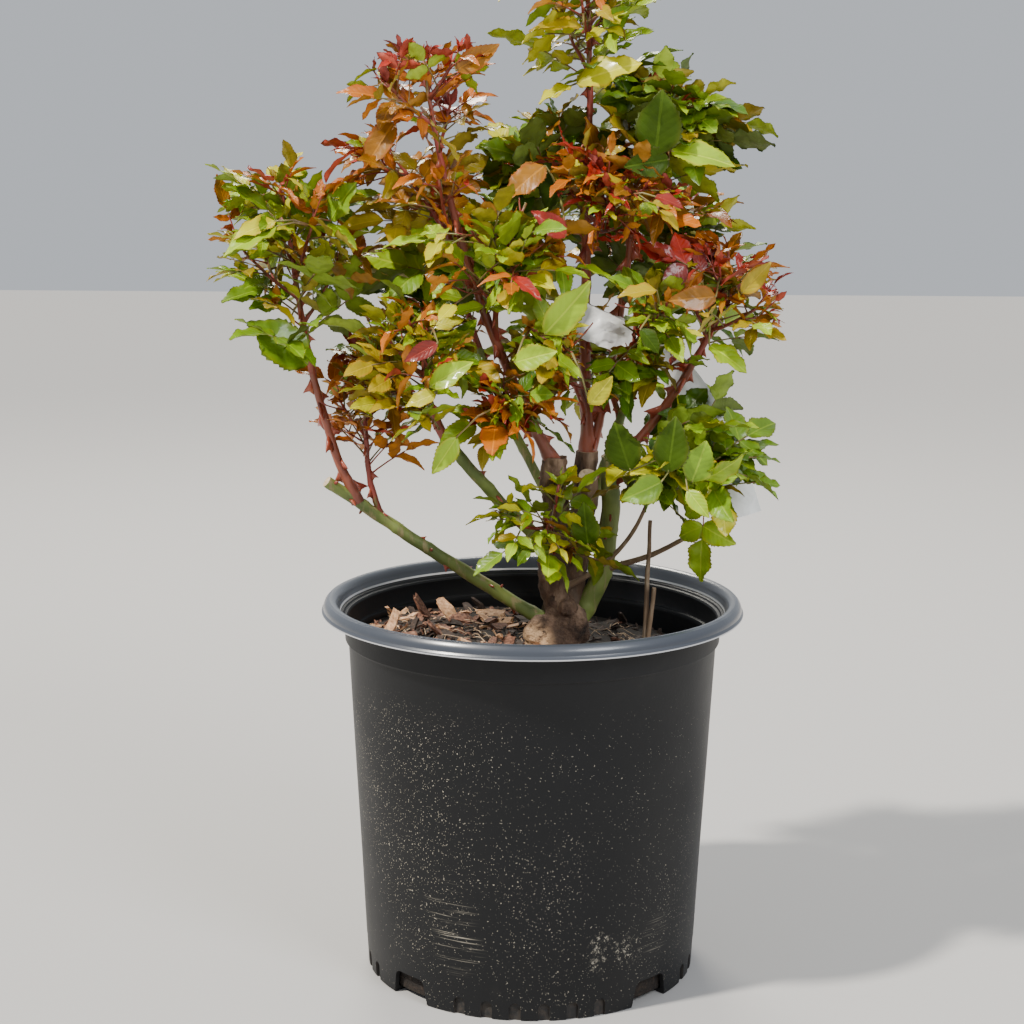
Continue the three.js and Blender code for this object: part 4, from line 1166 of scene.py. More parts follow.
# %% Tones of leaf
TONES = {
    # tone: colour above, colour below, vein, edge, roughness
    "yellow": ((0.52, 0.5, 0.006), (0.52, 0.5, 0.02), (0.66, 0.6, 0.04), (0.52, 0.27, 0.008), 0.4),
    "lime": ((0.3, 0.46, 0.006), (0.36, 0.48, 0.02), (0.44, 0.56, 0.03), (0.42, 0.34, 0.008), 0.37),
    "green": ((0.17, 0.31, 0.006), (0.25, 0.36, 0.02), (0.28, 0.42, 0.02), (0.26, 0.28, 0.008), 0.34),
    "deep": ((0.065, 0.15, 0.005), (0.15, 0.21, 0.025), (0.12, 0.21, 0.025), (0.1, 0.14, 0.01), 0.25),
    # shade is painted shade: a darker, duller copy of the greens for large leaves that lie in shadow.
    "shade": ((0.045, 0.085, 0.004), (0.1, 0.14, 0.01), (0.07, 0.12, 0.008), (0.07, 0.08, 0.005), 0.55),
    "blue": ((0.036, 0.09, 0.011), (0.11, 0.16, 0.03), (0.08, 0.15, 0.025), (0.06, 0.09, 0.01), 0.24),
    "olive": ((0.38, 0.28, 0.005), (0.38, 0.29, 0.02), (0.46, 0.32, 0.02), (0.45, 0.17, 0.01), 0.3),
    "bronze": ((0.31, 0.125, 0.004), (0.44, 0.2, 0.015), (0.46, 0.19, 0.012), (0.4, 0.07, 0.008), 0.3),
    "orange": ((0.47, 0.125, 0.004), (0.6, 0.21, 0.015), (0.64, 0.2, 0.012), (0.5, 0.07, 0.01), 0.32),
    "crimson": ((0.39, 0.022, 0.009), (0.45, 0.06, 0.025), (0.5, 0.05, 0.025), (0.3, 0.018, 0.01), 0.28),
    "wine": ((0.25, 0.025, 0.016), (0.3, 0.045, 0.03), (0.32, 0.04, 0.02), (0.13, 0.012, 0.01), 0.27),
}
VEINS = 7
WIDE_LOW, FULLNESS = 0.84, 0.8
DARKER = 0.72
GLOSS = {"IOR": 1.38, "Coat_Weight": 0.28, "Coat_Roughness": 0.12}
# The painted shade tone is duller as well.
DULL = {"IOR": 1.2, "Coat_Weight": 0.04, "Coat_Roughness": 0.12}


def darker(colour):
    return tuple(channel * DARKER for channel in colour)


def leaf_top(tone, colour, vein, edge, roughness):
    """Pale veins, a cloud of darker colour and a tinted edge, all drawn on the leaflet's flat map."""
    finish = Finish(f"leaf_{tone}_above", **(DULL if tone == "shade" else GLOSS))
    flat = finish.node("ShaderNodeUVMap", {"uv_map": "blade"})
    along = finish.node("ShaderNodeSeparateXYZ", {}, {0: flat})
    across = finish.node("ShaderNodeSeparateXYZ", {}, {0: flat}, output=1)
    from_rib = finish.node("ShaderNodeMath", {"operation": "ABSOLUTE"}, {0: across})
    beat = finish.node("ShaderNodeMath", {"operation": "PINGPONG"}, {0: along * VEINS - from_rib * 2.1, 1: 0.5})
    side_veins = finish.step(beat, 0.11, 0.02) * finish.step(from_rib, 1.0, 0.75)
    rib = finish.step(from_rib, 0.085, 0.03)
    veins = finish.step(rib + side_veins * 0.2, 0, 1)
    cloud, share = finish.grain(55, 3), along**WIDE_LOW
    margin = from_rib - (share * (1 - share) * 4) ** FULLNESS
    blade = finish.mix(finish.step(cloud, 0.36, 0.66), colour, darker(colour))
    blade = finish.mix(finish.step(margin, -0.3, 0.05) * 0.75, blade, edge)
    finish.feed("Base Color", finish.mix(veins * 0.75, blade, vein))
    finish.feed("Roughness", roughness + cloud * 0.14)
    finish.relief(beat * 0.5 - veins * 0.5 + finish.grain(190, 2) * 0.9 + finish.grain(500, 2) * 0.3, 0.0006, 0.6)
    return finish.material


def leaf_below(tone, colour):
    """The dull underside, mottled with a darker tone. Its colour is paler, as a rose leaf's is, and a brighter
    yellow-green as painted light shining through the leaf.
    """
    finish = Finish(f"leaf_{tone}_below", Roughness=0.6)
    mottle = finish.step(finish.grain(160, 3), 0.35, 0.7)
    finish.feed("Base Color", finish.mix(mottle, colour, darker(colour)))
    finish.relief(mottle, 0.0003)
    return finish.material


LEAF_FINISHES = []
for tone, (above, below, vein, edge, roughness) in TONES.items():
    LEAF_FINISHES += [leaf_top(tone, above, vein, edge, roughness), leaf_below(tone, below)]
TONE_PLACES = {tone: 2 * i for i, tone in enumerate(TONES)}
print("leaf finishes:", len(LEAF_FINISHES))

# %% [markdown]
# ## One leaflet
# The leaflet is worked out once: a fan of faces from foot to tip with a raised fold, a row of forward-pointing teeth
# down each edge, and a paler underside. A few versions differ in fold, arch and width.

# %% Leaflet shapes
STATIONS = [0.0, 0.12, 0.28, 0.46, 0.64, 0.82, 1.0]
LEAFLET_THICKNESS = 0.011
TOOTH = {"out": 0.075, "ahead": 0.74}
ACROSS = (-1, -0.5, 0, 0.5, 1)
WIDE = len(ACROSS)


def half_width(along, widest):
    return widest * sin(pi * along**WIDE_LOW) ** FULLNESS * (1 - 0.22 * along**3)


def leaflet_shape(widest, fold, arch, wave):
    """Points, triangles, which triangles are the underside, and the flat map of one leaflet one unit long."""
    points, flat, triangles, below = [], [], [], []

    def add(along, across, sunk=0.0, out=0.0):
        width = half_width(min(along, 1), widest) if 0 < along < 1 else 0
        y = across * width + np.sign(across) * out
        ripple = wave * sin(along * 15 + across * 2) * abs(across)
        z = fold * abs(y) - arch * along**2 + ripple - fold * 0.5 * y * y / max(widest, 0.01) - sunk
        points.append((along, y, z))
        flat.append((along, across * width / widest))

    rows = len(STATIONS) - 2
    for side in (0, 1):
        first, faces = len(points), []
        for along in STATIONS[1:-1]:
            for across in ACROSS:
                add(along, across, side * LEAFLET_THICKNESS * (abs(across) < 1))
        foot, tip = len(points), len(points) + 1
        add(0, 0)
        add(1, 0)
        for column in range(WIDE - 1):
            last = first + (rows - 1) * WIDE + column
            faces += [(foot, first + column + 1, first + column), (tip, last, last + 1)]
            for row in range(rows - 1):
                a = first + row * WIDE + column
                faces += [(a, a + 1, a + WIDE + 1), (a, a + WIDE + 1, a + WIDE)]
        for edge, sign in ((0, -1), (WIDE - 1, 1)):
            line = [foot, *(first + row * WIDE + edge for row in range(rows)), tip]
            for i, (here, there) in enumerate(zip(line, line[1:])):
                step, new = (STATIONS[i + 1] - STATIONS[i]) / 2, len(points)
                for half, out in ((TOOTH["ahead"], 1), (1, 0), (1 + TOOTH["ahead"], 1)):
                    along = STATIONS[i] + step * half
                    tooth = TOOTH["out"] * widest * (0.4 + half_width(along, widest) / widest)
                    add(along, sign, out=out * tooth)
                corners = [(here, new, new + 1), (here, new + 1, there), (new + 1, new + 2, there)]
                faces += corners if sign < 0 else [face[::-1] for face in corners]
        triangles += faces if side else [face[::-1] for face in faces]
        below += [side] * len(faces)
    return np.array(points), np.array(triangles), np.array(below), np.array(flat)


def facing_up(shape):
    """Turns every triangle of the upper side up and of the underside down."""
    points, triangles, below, flat = shape
    a, b, c = (points[triangles[:, k]] for k in range(3))
    rising = np.cross(b - a, c - a)[:, 2] > 0
    wrong = rising == (below == 1)
    triangles[wrong] = triangles[wrong][:, ::-1]
    return points, triangles, below, flat


FORMS = {
    # kind: half its width, its fold, its arch and the wave of its edge, in shares of its length
    "old": [(0.26, 0.34, 0.14, 0.04), (0.23, 0.5, 0.22, 0.03), (0.29, 0.22, 0.08, 0.05), (0.22, 0.66, 0.3, 0.03)],
    "long": [(0.25, 0.5, 0.2, 0.04), (0.27, 0.4, 0.16, 0.05), (0.23, 0.62, 0.24, 0.03)],
    "broad": [(0.34, 0.34, 0.16, 0.05), (0.32, 0.5, 0.22, 0.04), (0.36, 0.24, 0.1, 0.06)],
    "young": [(0.19, 0.6, 0.3, 0.04), (0.16, 0.9, 0.45, 0.02), (0.21, 0.4, -0.12, 0.05)],
}
LEAFLETS = {kind: [facing_up(leaflet_shape(*form)) for form in forms] for kind, forms in FORMS.items()}
print("leaflet:", len(LEAFLETS["old"][0][1]), "triangles")

# %% [markdown]
# ## Masses of foliage
# The stems, shoots and leaf stations are those of the solids. Each station here carries a whole compound leaf, a
# stalk with three or five leaflets, and the same rule then goes on to finer twigs, smaller leaves and unfolding tips
# that keep to the same space. The label is named here too, because the leaves have to stay clear of it.

# %% Table of masses
LABEL = {
    "width": 19, "thickness": 0.8, "centre": (44, 12, 430), "half": (18, 11),
    "drop": 10, "tip": (143, 306), "bow": (8, 44),
}
MASSES = [
    # name, parent, share, tip, girth, drop, shoots, leaf, seed, look, slot
    ("foliage_left", "shoot_left", None, (-161, -24, 524), 62, 10, 5, 46, 11, "spring", "green_leaves"),
    ("foliage_left_low", "cane_left", 0.72, (-110, -6, 418), 42, -14, 3, 36, 12, "bronze", "bronze_leaves"),
    ("foliage_left_mid", "cane_left_mid", None, (-66, -52, 440), 60, 22, 6, 44, 13, "spring", "green_leaves"),
    ("foliage_left_upper", "cane_left_centre", 0.74, (-98, -10, 552), 50, 0, 3, 40, 32, "bronze", "bronze_leaves"),
    ("foliage_left_top", "cane_left_centre", None, (-70, -32, 600), 52, -26, 4, 38, 15, "crimson", "crimson_leaves"),
    ("foliage_inner_left", "cane_left_centre", 0.5, (-14, -66, 500), 60, 12, 6, 46, 16, "mixed", "green_leaves"),
    ("foliage_inner_low", "cane_left_centre", 0.14, (-30, -74, 402), 54, 12, 4, 44, 29, "mixed", "green_leaves"),
    ("foliage_inner_right", "cane_centre", 0.1, (-2, -76, 438), 50, 14, 5, 44, 17, "spring", "green_leaves"),
    ("foliage_top", "cane_centre", None, (31, 0, 660), 56, 8, 4, 44, 18, "spring", "green_leaves"),
    ("foliage_red", "cane_centre", 0.6, (56, -40, 530), 60, 12, 6, 42, 19, "crimson", "crimson_leaves"),
    ("foliage_upper_back", "cane_centre", 0.68, (8, 50, 550), 56, 8, 4, 46, 20, "dark", "dark_leaves"),
    ("foliage_right_top", "cane_right_top", None, (88, 10, 578), 58, 6, 4, 48, 21, "dark", "dark_leaves"),
    ("foliage_right", "cane_right", None, (132, -18, 468), 60, 18, 6, 42, 22, "bronze", "bronze_leaves"),
    ("foliage_right_mid", "cane_right_top", 0.2, (84, -48, 452), 56, 8, 5, 44, 23, "mixed", "dark_leaves"),
    ("foliage_right_low", "cane_green", 0.8, (122, -50, 352), 56, -2, 5, 46, 24, "glossy", "green_leaves"),
    ("foliage_low", "trunk", 0.42, (8, -56, 316), 48, 4, 3, 38, 25, "lime", "green_leaves"),
    ("foliage_rear_left", "cane_rear_left", None, (-54, 84, 494), 72, 30, 5, 50, 26, "dark", "dark_leaves"),
    ("foliage_rear_right", "cane_rear_right", None, (86, 92, 502), 72, 30, 5, 50, 27, "mixed", "dark_leaves"),
    ("foliage_rear", "cane_rear_right", 0.5, (18, 98, 436), 62, 14, 3, 50, 28, "mixed", "dark_leaves"),
]
LOOKS = {
    # tones low on a twig, and tones towards its tip
    "spring": (
        ("green", "lime", "olive", "lime", "yellow"),
        ("lime", "yellow", "olive", "bronze", "olive", "orange", "lime"),
    ),
    "glossy": (("green", "deep", "green", "lime"), ("green", "lime", "yellow", "deep")),
    "lime": (("lime", "green", "yellow"), ("lime", "yellow", "olive")),
    "mixed": (("deep", "green", "lime", "lime", "olive"), ("olive", "orange", "lime", "bronze", "yellow", "green")),
    "dark": (("deep", "green", "olive", "lime"), ("green", "lime", "deep", "olive")),
    "bronze": (("olive", "bronze", "lime", "orange", "green"), ("orange", "bronze", "crimson", "olive", "orange")),
    "crimson": (("bronze", "olive", "orange", "lime"), ("crimson", "orange", "bronze", "crimson", "orange", "olive")),
}
print("masses:", len(MASSES))

# %% The seeded rule
LEAF = {"widest": 0.56, "half_width": 0.31, "droop": 0.16}
RIB_SAMPLES = [(0.25, 0), (0.4, 0), (LEAF["widest"], 0), (0.8, 0), (1, 0)]
EDGE_SAMPLES = [(LEAF["widest"], share) for share in (-1, -0.5, 0.5, 1)]
INNER_SAMPLES = [(along, share) for share in (-0.5, 0.5) for along in (0.3, 0.78)]
LEAF_SAMPLES = np.array(RIB_SAMPLES + EDGE_SAMPLES + INNER_SAMPLES)
TRIES, SHRINK, LEAF_SPACING, LEAF_CLEARANCE, SPACE_MARGIN = 8, 0.05, 4, 1.2, 0.04
SHOOT = {
    "foot": 1.3, "tip": 0.8, "angle": 52, "lift": 0.25, "lowest": 0.2, "highest": 0.85, "spacing": 14, "bare": 0.25,
    "shortest": 0.55, "longest": 0.8, "at_foot": 1.15, "shortening": 0.45, "leaves": 0.85,
}
LEADER, BRANCH = {"straight": 0.45, "bare": 0.1}, {"straight": 0.2, "bare": 0.3, "foot": 2.2}
STEM_TIP, INTERNODE, LAST_NODE, LEAF_ANGLE, LAST_ANGLE, LEAF_ROLL = 0.9, 12, 0.98, 62, 0.4, 1.1


def direction_round(axis, angle, turn):
    """A direction at an angle from an axis and at a turn round it."""
    reference = UP if abs(axis.z) < 0.9 else Vector((1, 0, 0))
    across = Quaternion(axis, turn) @ reference.cross(axis).normalized()
    return axis * cos(angle) + across * sin(angle)


class Space:
    """The egg-shaped space that a mass keeps to. Its depth is 0 in the middle and 1 at the skin."""

    def __init__(self, foot, tip, girth, drop, leaf):
        tip = Vector(tip)
        self.axis = (tip - foot).normalized()
        low, high = foot - self.axis * drop, tip + self.axis * (leaf / 4)
        self.centre, self.half, self.girth = low.lerp(high, 0.5), (high - low).length / 2, girth

    def depth(self, points):
        offsets = points - np.array(self.centre)
        along = offsets @ np.array(self.axis)
        across = np.sqrt(np.maximum(0, (offsets * offsets).sum(1) - along * along))
        return np.hypot(along / self.half, across / self.girth)


class Leaf:
    """One blade of the solids, with the samples that say whether it has room."""

    def __init__(self, foot, direction, length, roll):
        level = (UP - direction * direction.z).normalized()
        self.normal = Quaternion(direction, roll) @ level
        self.side = direction.cross(self.normal)
        self.foot, self.direction, self.length = foot, direction, length
        along, share = LEAF_SAMPLES[:, :1], LEAF_SAMPLES[:, 1:] * LEAF["half_width"]
        self.samples = np.array(foot) + length * (
            along * np.array(direction) + share * np.array(self.side) - LEAF["droop"] * along**2 * np.array(UP)
        )
        self.middle = self.samples[2]

    def near(self, other):
        if np.linalg.norm(self.middle - other.middle) > self.length + other.length:
            return False
        gaps = self.samples[:, None] - other.samples
        return bool(((gaps * gaps).sum(2) < LEAF_SPACING * LEAF_SPACING).any())

    def middle_near(self, other):
        return np.linalg.norm(self.middle - other.middle) < FINE["middles"]

    def rib(self, along):
        return self.foot + self.direction * (along * self.length) - UP * (LEAF["droop"] * along**2 * self.length)


class Twig:
    """A stem or shoot: where its leaves start, how large they are, and its order, which is 0 for a stem."""

    def __init__(self, line, start, share, radii, order=0):
        self.line, self.start, self.share, self.radii, self.order = line, start, share, radii, order


# %% Growing a mass
def label_guards():
    """The line of the label's tail, and stout limbs round the label that keep leaves away."""
    centre, radius = Vector(LABEL["centre"]), LABEL["half"][0] + LABEL["thickness"]
    start = np.array([centre.x + radius + GAP, centre.z - LABEL["drop"]])
    end = np.array(LABEL["tip"])
    middle = (start + end) / 2 + np.array(LABEL["bow"])
    line = BowedLine(*((x, centre.y, z) for x, z in (start, middle, end)))
    lift = UP * (LABEL["width"] / 4)
    guards = [Limb(centre - lift, centre + lift, (0, 0, 0), (radius, radius))]
    bends = line.spaced(2)
    half = (LABEL["width"] / 2,) * 2
    return line, guards + [Limb(bends[i], bends[i + 1], (0, 0, 0), half) for i in range(2)]


LABEL_LINE, GUARDS = label_guards()


class Mass:
    def __init__(self, name, parent, share, tip, girth, drop, shoots, leaf, seed, look, slot):
        self.name, self.parent, self.tip, self.girth = name, limbs[parent], Vector(tip), girth
        self.shoots, self.leaf, self.look, self.slot, self.seed = shoots, leaf, look, slot, seed
        self.dice = Dice(seed)
        self.from_tip = share is None
        self.habit = LEADER if self.from_tip else BRANCH
        self.heading = self.parent.line.heading(1 if self.from_tip else share)
        self.foot = self.parent.line.at(1 if self.from_tip else share)
        if self.from_tip:
            self.foot = self.foot + self.heading * GAP
        self.space = Space(self.foot, tip, girth, drop, leaf)

    def free(self, points):
        """Whether all points are in the mass's own space and clear of all wood and of the label."""
        depth = self.space.depth(points)
        if (depth > 1).any():
            return False
        if any((space.depth(points) < depth + SPACE_MARGIN).any() for space in self.others):
            return False
        if any((limb.distance(points) <= LEAF_CLEARANCE).any() for limb in (*limbs.values(), *GUARDS)):
            return False
        burl = ((np.linalg.norm(points - np.array(at), axis=1) - max(size)).min() for at, size in BURL)
        return min(burl) > LEAF_CLEARANCE

    def grow(self, spaces):
        self.others = [space for space in spaces if space is not self.space]
        reach = (self.tip - self.foot).length
        self.stem = BowedLine(self.foot, self.foot + self.heading * (reach * self.habit["straight"]), self.tip)
        thick = self.parent.radii[1] if self.from_tip else min(BRANCH["foot"], self.parent.radii[1])
        self.twigs = [Twig(self.stem, self.habit["bare"], 1, (thick, STEM_TIP))]
        turn = self.dice.between(0, 2 * pi)
        for i in range(self.shoots):
            share = SHOOT["lowest"] + (SHOOT["highest"] - SHOOT["lowest"]) * (i + 0.5) / self.shoots
            length = self.girth * self.dice.between(SHOOT["shortest"], SHOOT["longest"])
            turn += GOLDEN_TURN
            shoot = Twig(None, SHOOT["bare"], SHOOT["leaves"], (SHOOT["foot"], SHOOT["tip"]), 1)
            length *= SHOOT["at_foot"] - SHOOT["shortening"] * share
            self.try_shoot(shoot, self.stem, share, length, turn, SHOOT["spacing"])
        self.leaves = []
        for twig in self.twigs:
            self.grow_leaves(twig)
        print(f"{self.name}: {len(self.twigs) - 1} shoots, {len(self.leaves)} leaves")

    def try_shoot(self, twig, stem, share, length, turn, spacing):
        """Gives a twig the first line with room round its place on the stem, or drops the twig."""
        foot, axis = stem.at(share), stem.heading(share)
        for attempt in range(TRIES):
            reach = length * (1 - SHRINK * attempt)
            direction = direction_round(axis, radians(SHOOT["angle"]), turn + attempt * GOLDEN_TURN)
            tip = foot + direction * reach + UP * (reach * SHOOT["lift"])
            line = BowedLine(foot, foot + direction * (reach / 2), tip)
            crowded = any((other.line.tip - tip).length < spacing for other in self.twigs[1:])
            if crowded or not self.free(np.array(line.spaced(4)[1:])):
                continue
            twig.line = line
            self.twigs.append(twig)
            return

    def grow_leaves(self, twig):
        count = max(2, round(twig.line.length * (1 - twig.start) / INTERNODE))
        turn = self.dice.between(0, 2 * pi)
        for i in range(count + 1):
            place = twig.start + (LAST_NODE - twig.start) * i / count
            vigour = self.dice.between(0.85, 1.1)
            size = self.leaf * twig.share * vigour * (1.08 - 0.35 * place)
            spread = LAST_ANGLE if i == count else 1
            angle = radians(LEAF_ANGLE * spread * self.dice.between(0.85, 1.15))
            roll = self.dice.between(-LEAF_ROLL, LEAF_ROLL)
            turn += GOLDEN_TURN
            self.try_leaf(twig, place, size, angle, roll, turn, Leaf.near)

    def try_leaf(self, twig, place, size, angle, roll, turn, crowded, checked=None):
        """Turns a leaf until no other crowds it and its samples, or the first few, are free."""
        foot, axis = twig.line.at(place), twig.line.heading(place)
        for attempt in range(TRIES):
            direction = direction_round(axis, angle, turn + attempt * GOLDEN_TURN)
            leaf = Leaf(foot, direction, size * (1 - SHRINK * attempt), roll)
            if any(crowded(leaf, other) for other in self.leaves) or not self.free(leaf.samples[:checked]):
                continue
            leaf.twig, leaf.place = twig, place
            self.leaves.append(leaf)
            return


masses = [Mass(*row) for row in MASSES]
for mass in masses:
    mass.grow([each.space for each in masses])
print("leaves as in the solids:", sum(len(mass.leaves) for mass in masses))

# %% [markdown]
# The second pass is for the eye. Each twig gets leaves between those that it has, short spurs with a few small
# leaves, and a tuft of narrow red leaflets at its end, where the rose is still unfolding.

# %% Finer twigs and leaves
FINE = {"leaf": 0.72, "middles": 7.5, "checked": 9, "per_length": 34, "leaves": 3, "leaf_angles": (40, 75)}
SPUR = {"lengths": (13, 24), "last": 0.92, "bare": 0.35, "radii": (0.75, 0.5), "spacing": 7}


def grow_finer(mass):
    """Adds spurs and leaves in the same space. A leaf is crowded only where the middles of two leaves come near."""
    dice, before = Dice(mass.seed + 300), len(mass.leaves)
    for twig in list(mass.twigs):
        for _ in range(round(twig.line.length * (1 - twig.start) / FINE["per_length"])):
            share, length = dice.between(twig.start, SPUR["last"]), dice.between(*SPUR["lengths"])
            spur = Twig(None, SPUR["bare"], twig.share * FINE["leaf"], SPUR["radii"], twig.order + 1)
            mass.try_shoot(spur, twig.line, share, length, dice.between(0, 2 * pi), SPUR["spacing"])
    for twig in mass.twigs:
        is_spur = twig.radii == SPUR["radii"]
        count = FINE["leaves"] if is_spur else round(twig.line.length * (1 - twig.start) / INTERNODE)
        turn = dice.between(0, 2 * pi)
        for i in range(count):
            place = twig.start + (LAST_NODE - twig.start) * (i + 0.5) / count
            size = mass.leaf * twig.share * dice.between(0.7, 1) * (1.05 - 0.4 * place)
            angle, roll = radians(dice.between(*FINE["leaf_angles"])), dice.between(-LEAF_ROLL, LEAF_ROLL)
            turn += GOLDEN_TURN
            mass.try_leaf(twig, place, size, angle, roll, turn, Leaf.middle_near, FINE["checked"])
    print(f"{mass.name}: {len(mass.twigs)} twigs, {before} + {len(mass.leaves) - before} leaves")


for mass in masses:
    grow_finer(mass)
print("leaves in all:", sum(len(mass.leaves) for mass in masses))

# %% [markdown]
# The picture shows the label and four canes bare, where the rule alone would cover them. So narrow rows are kept
# free of leaflets. Three run from the label towards the camera, and one towards the sun, so that light falls on it.
# Each of the canes has a dozen of them towards the camera. They are fixed in the plant, the same from every side.

# %% Rows without leaflets
LABEL_ROWS = [
    # from, to, radius
    ((46, -16, 437), (41, -160, 448), 19),
    ((104, 4, 392), (96, -140, 404), 10),
    ((140, 4, 322), (130, -140, 345), 9),
    ((48, -6, 438), (-72, -72, 608), 20),
]
BARE_CANES = [
    # cane, and where along it the first and the last row start
    ("cane_centre", 0.04, 0.44), ("cane_left_centre", 0.5, 0.96), ("shoot_left", 0, 0.9), ("cane_right", 0.2, 0.9),
]
CANE_ROWS = {"count": 12, "length": 110, "radius": 7.5}


def rows_before_canes():
    rows = []
    for name, first, last in BARE_CANES:
        for share in np.linspace(first, last, CANE_ROWS["count"]):
            start = limbs[name].line.at(share)
            to_camera = (Vector(CAMERA["place"]) - start).normalized()
            rows.append((start, start + to_camera * CANE_ROWS["length"], CANE_ROWS["radius"]))
    return rows


BARE_ROWS = LABEL_ROWS + rows_before_canes()
ROW_STARTS, ROW_ENDS, ROW_RADII = (np.array(column) for column in zip(*BARE_ROWS))
ROW_RUNS = ROW_ENDS - ROW_STARTS
print("rows without leaflets:", len(BARE_ROWS))


def in_bare_row(point):
    offsets = np.array(point) - ROW_STARTS
    shares = np.clip((offsets * ROW_RUNS).sum(1) / (ROW_RUNS**2).sum(1), 0, 1)
    gaps = np.linalg.norm(offsets - shares[:, None] * ROW_RUNS, axis=1)
    return bool((gaps < ROW_RADII).any())


# %% [markdown]
# Leaflets stand in pairs along a thin stalk, with one at its end. Their feet point forward, their tips hang, and no
# two lie in one plane, which gives the glitter of light and dark of a real bush.

# %% Putting a leaflet in place
EDGE_ROOM = 5
CHANGED = 0.35
NEXT_TONES = {
    "yellow": ("lime", "olive"), "lime": ("yellow", "green"), "green": ("lime", "deep"), "deep": ("green", "blue"),
    "blue": ("deep",), "olive": ("bronze", "lime", "yellow"), "bronze": ("orange", "olive"),
    "orange": ("bronze", "crimson"), "crimson": ("orange", "wine"), "wine": ("crimson", "bronze"),
}


def in_reach(point):
    """Whether a point is inside the box of the solids, or out of it by only a little."""
    low, high = (Vector(corner) / MM for corner in cad_box)
    return all(low[k] - EDGE_ROOM < point[k] < high[k] + EDGE_ROOM for k in range(3))


def cut_back(length, tip_at, shortest, by):
    """A length shortened step by step until its tip is in reach."""
    while length > shortest and not in_reach(tip_at(length)):
        length *= by
    return length


def varied(dice, tone):
    return dice.pick(NEXT_TONES[tone]) if dice.roll() < CHANGED else tone


def jitter(dice, amount):
    return Vector([dice.between(-amount, amount) for _ in range(3)])


def put_leaflet(heap, kind, dice, foot, direction, normal, length, tone):
    points, triangles, below, flat = dice.pick(LEAFLETS[kind])
    direction = direction.normalized()
    length = cut_back(length, lambda reach: foot + direction * reach, 4, 0.9)
    normal = (normal - direction * normal.dot(direction)).normalized()
    stands = np.array([direction, normal.cross(direction), normal])
    heap.add(points * length @ stands + np.array(foot), triangles, below + TONE_PLACES[tone], flat)


# %% Dressing a leaf
GROWN, LIFTED = 1.6, 0.3
FIVE_FROM, FIVE_LEAFLETS, THREE_LEAFLETS = 50, [(0.27, 0.34), (0.5, 0.44)], [(0.44, 0.49)]
END_LEAFLET = {"along": 0.64, "length": 0.5}
SIDE_ANGLE, MISSING = 66, 0.05
YOUNG_TONES, YOUNG_BELOW = ("crimson", "wine", "orange"), 52
STALK_RADII = [0.85, 0.65, 0.6, 0.55, 0.45]
YOUNG_STALK, GROWN_STALK = 0, 1


def stalk_of(leaf, length):
    """The line of a leaf's stalk: a function from a share of the leaf's length to a place."""
    onward = (leaf.direction + UP * LIFTED * (1 - leaf.direction.z)).normalized()

    def rib(along):
        drop = LEAF["droop"] * along * along * length
        return leaf.foot + onward * (along * length) - UP * drop

    return rib


def leaflets_of(leaf, rib, length, dice, tone):
    """Foot, direction, upper side, length and tone of each leaflet: pairs first, and the end leaflet last."""

    def ahead(along):
        return (rib(along + 0.05) - rib(along)).normalized()

    up, leaflets = (leaf.normal + UP * 0.3).normalized(), []
    for along, share in FIVE_LEAFLETS if length > FIVE_FROM else THREE_LEAFLETS:
        for sign in (-1, 1):
            if dice.roll() < MISSING:
                continue
            angle = radians(SIDE_ANGLE + dice.between(-10, 10))
            direction = ahead(along) * cos(angle) + leaf.side * (sign * sin(angle)) + jitter(dice, 0.12)
            tilt = up + leaf.side * (sign * dice.between(-0.5, 0.25)) + jitter(dice, 0.2)
            size = share * length * dice.between(0.88, 1.1)
            leaflets.append((rib(along), direction.normalized(), tilt, size, varied(dice, tone)))
    along = END_LEAFLET["along"]
    direction = (ahead(along) + jitter(dice, 0.12)).normalized()
    size = length * END_LEAFLET["length"] * dice.between(0.9, 1.1)
    leaflets.append((rib(along), direction, up + jitter(dice, 0.25), size, varied(dice, tone)))
    return leaflets


def dress_leaf(leaf, heap, stalks, dice, tone, grown_kind):
    """Puts stalk and leaflets on a leaf. One that would lose half its leaflets to the bare rows is left out."""
    length = cut_back(leaf.length * GROWN, lambda reach: leaf.rib(reach / leaf.length), 12, 0.93)
    rib = stalk_of(leaf, length)
    young = tone in YOUNG_TONES and length < YOUNG_BELOW
    leaflets = leaflets_of(leaf, rib, length, dice, tone)
    shown = [row for row in leaflets if not in_bare_row(row[0] + row[1] * (row[3] / 2))]
    if 2 * len(shown) <= len(leaflets):
        return
    stalk = [rib(END_LEAFLET["along"] * k / 4) for k in range(5)]
    stalks.add(*tube(stalk, STALK_RADII, 4), YOUNG_STALK if young else GROWN_STALK)
    for row in shown:
        put_leaflet(heap, "young" if young else grown_kind, dice, *row)


# %% [markdown]
# A bush is known by the few large leaflets that stand out in front, so these are placed one by one. Each lies where
# the picture shows it, turned towards the viewer, and gets a stalk from the nearest twig of its mass.

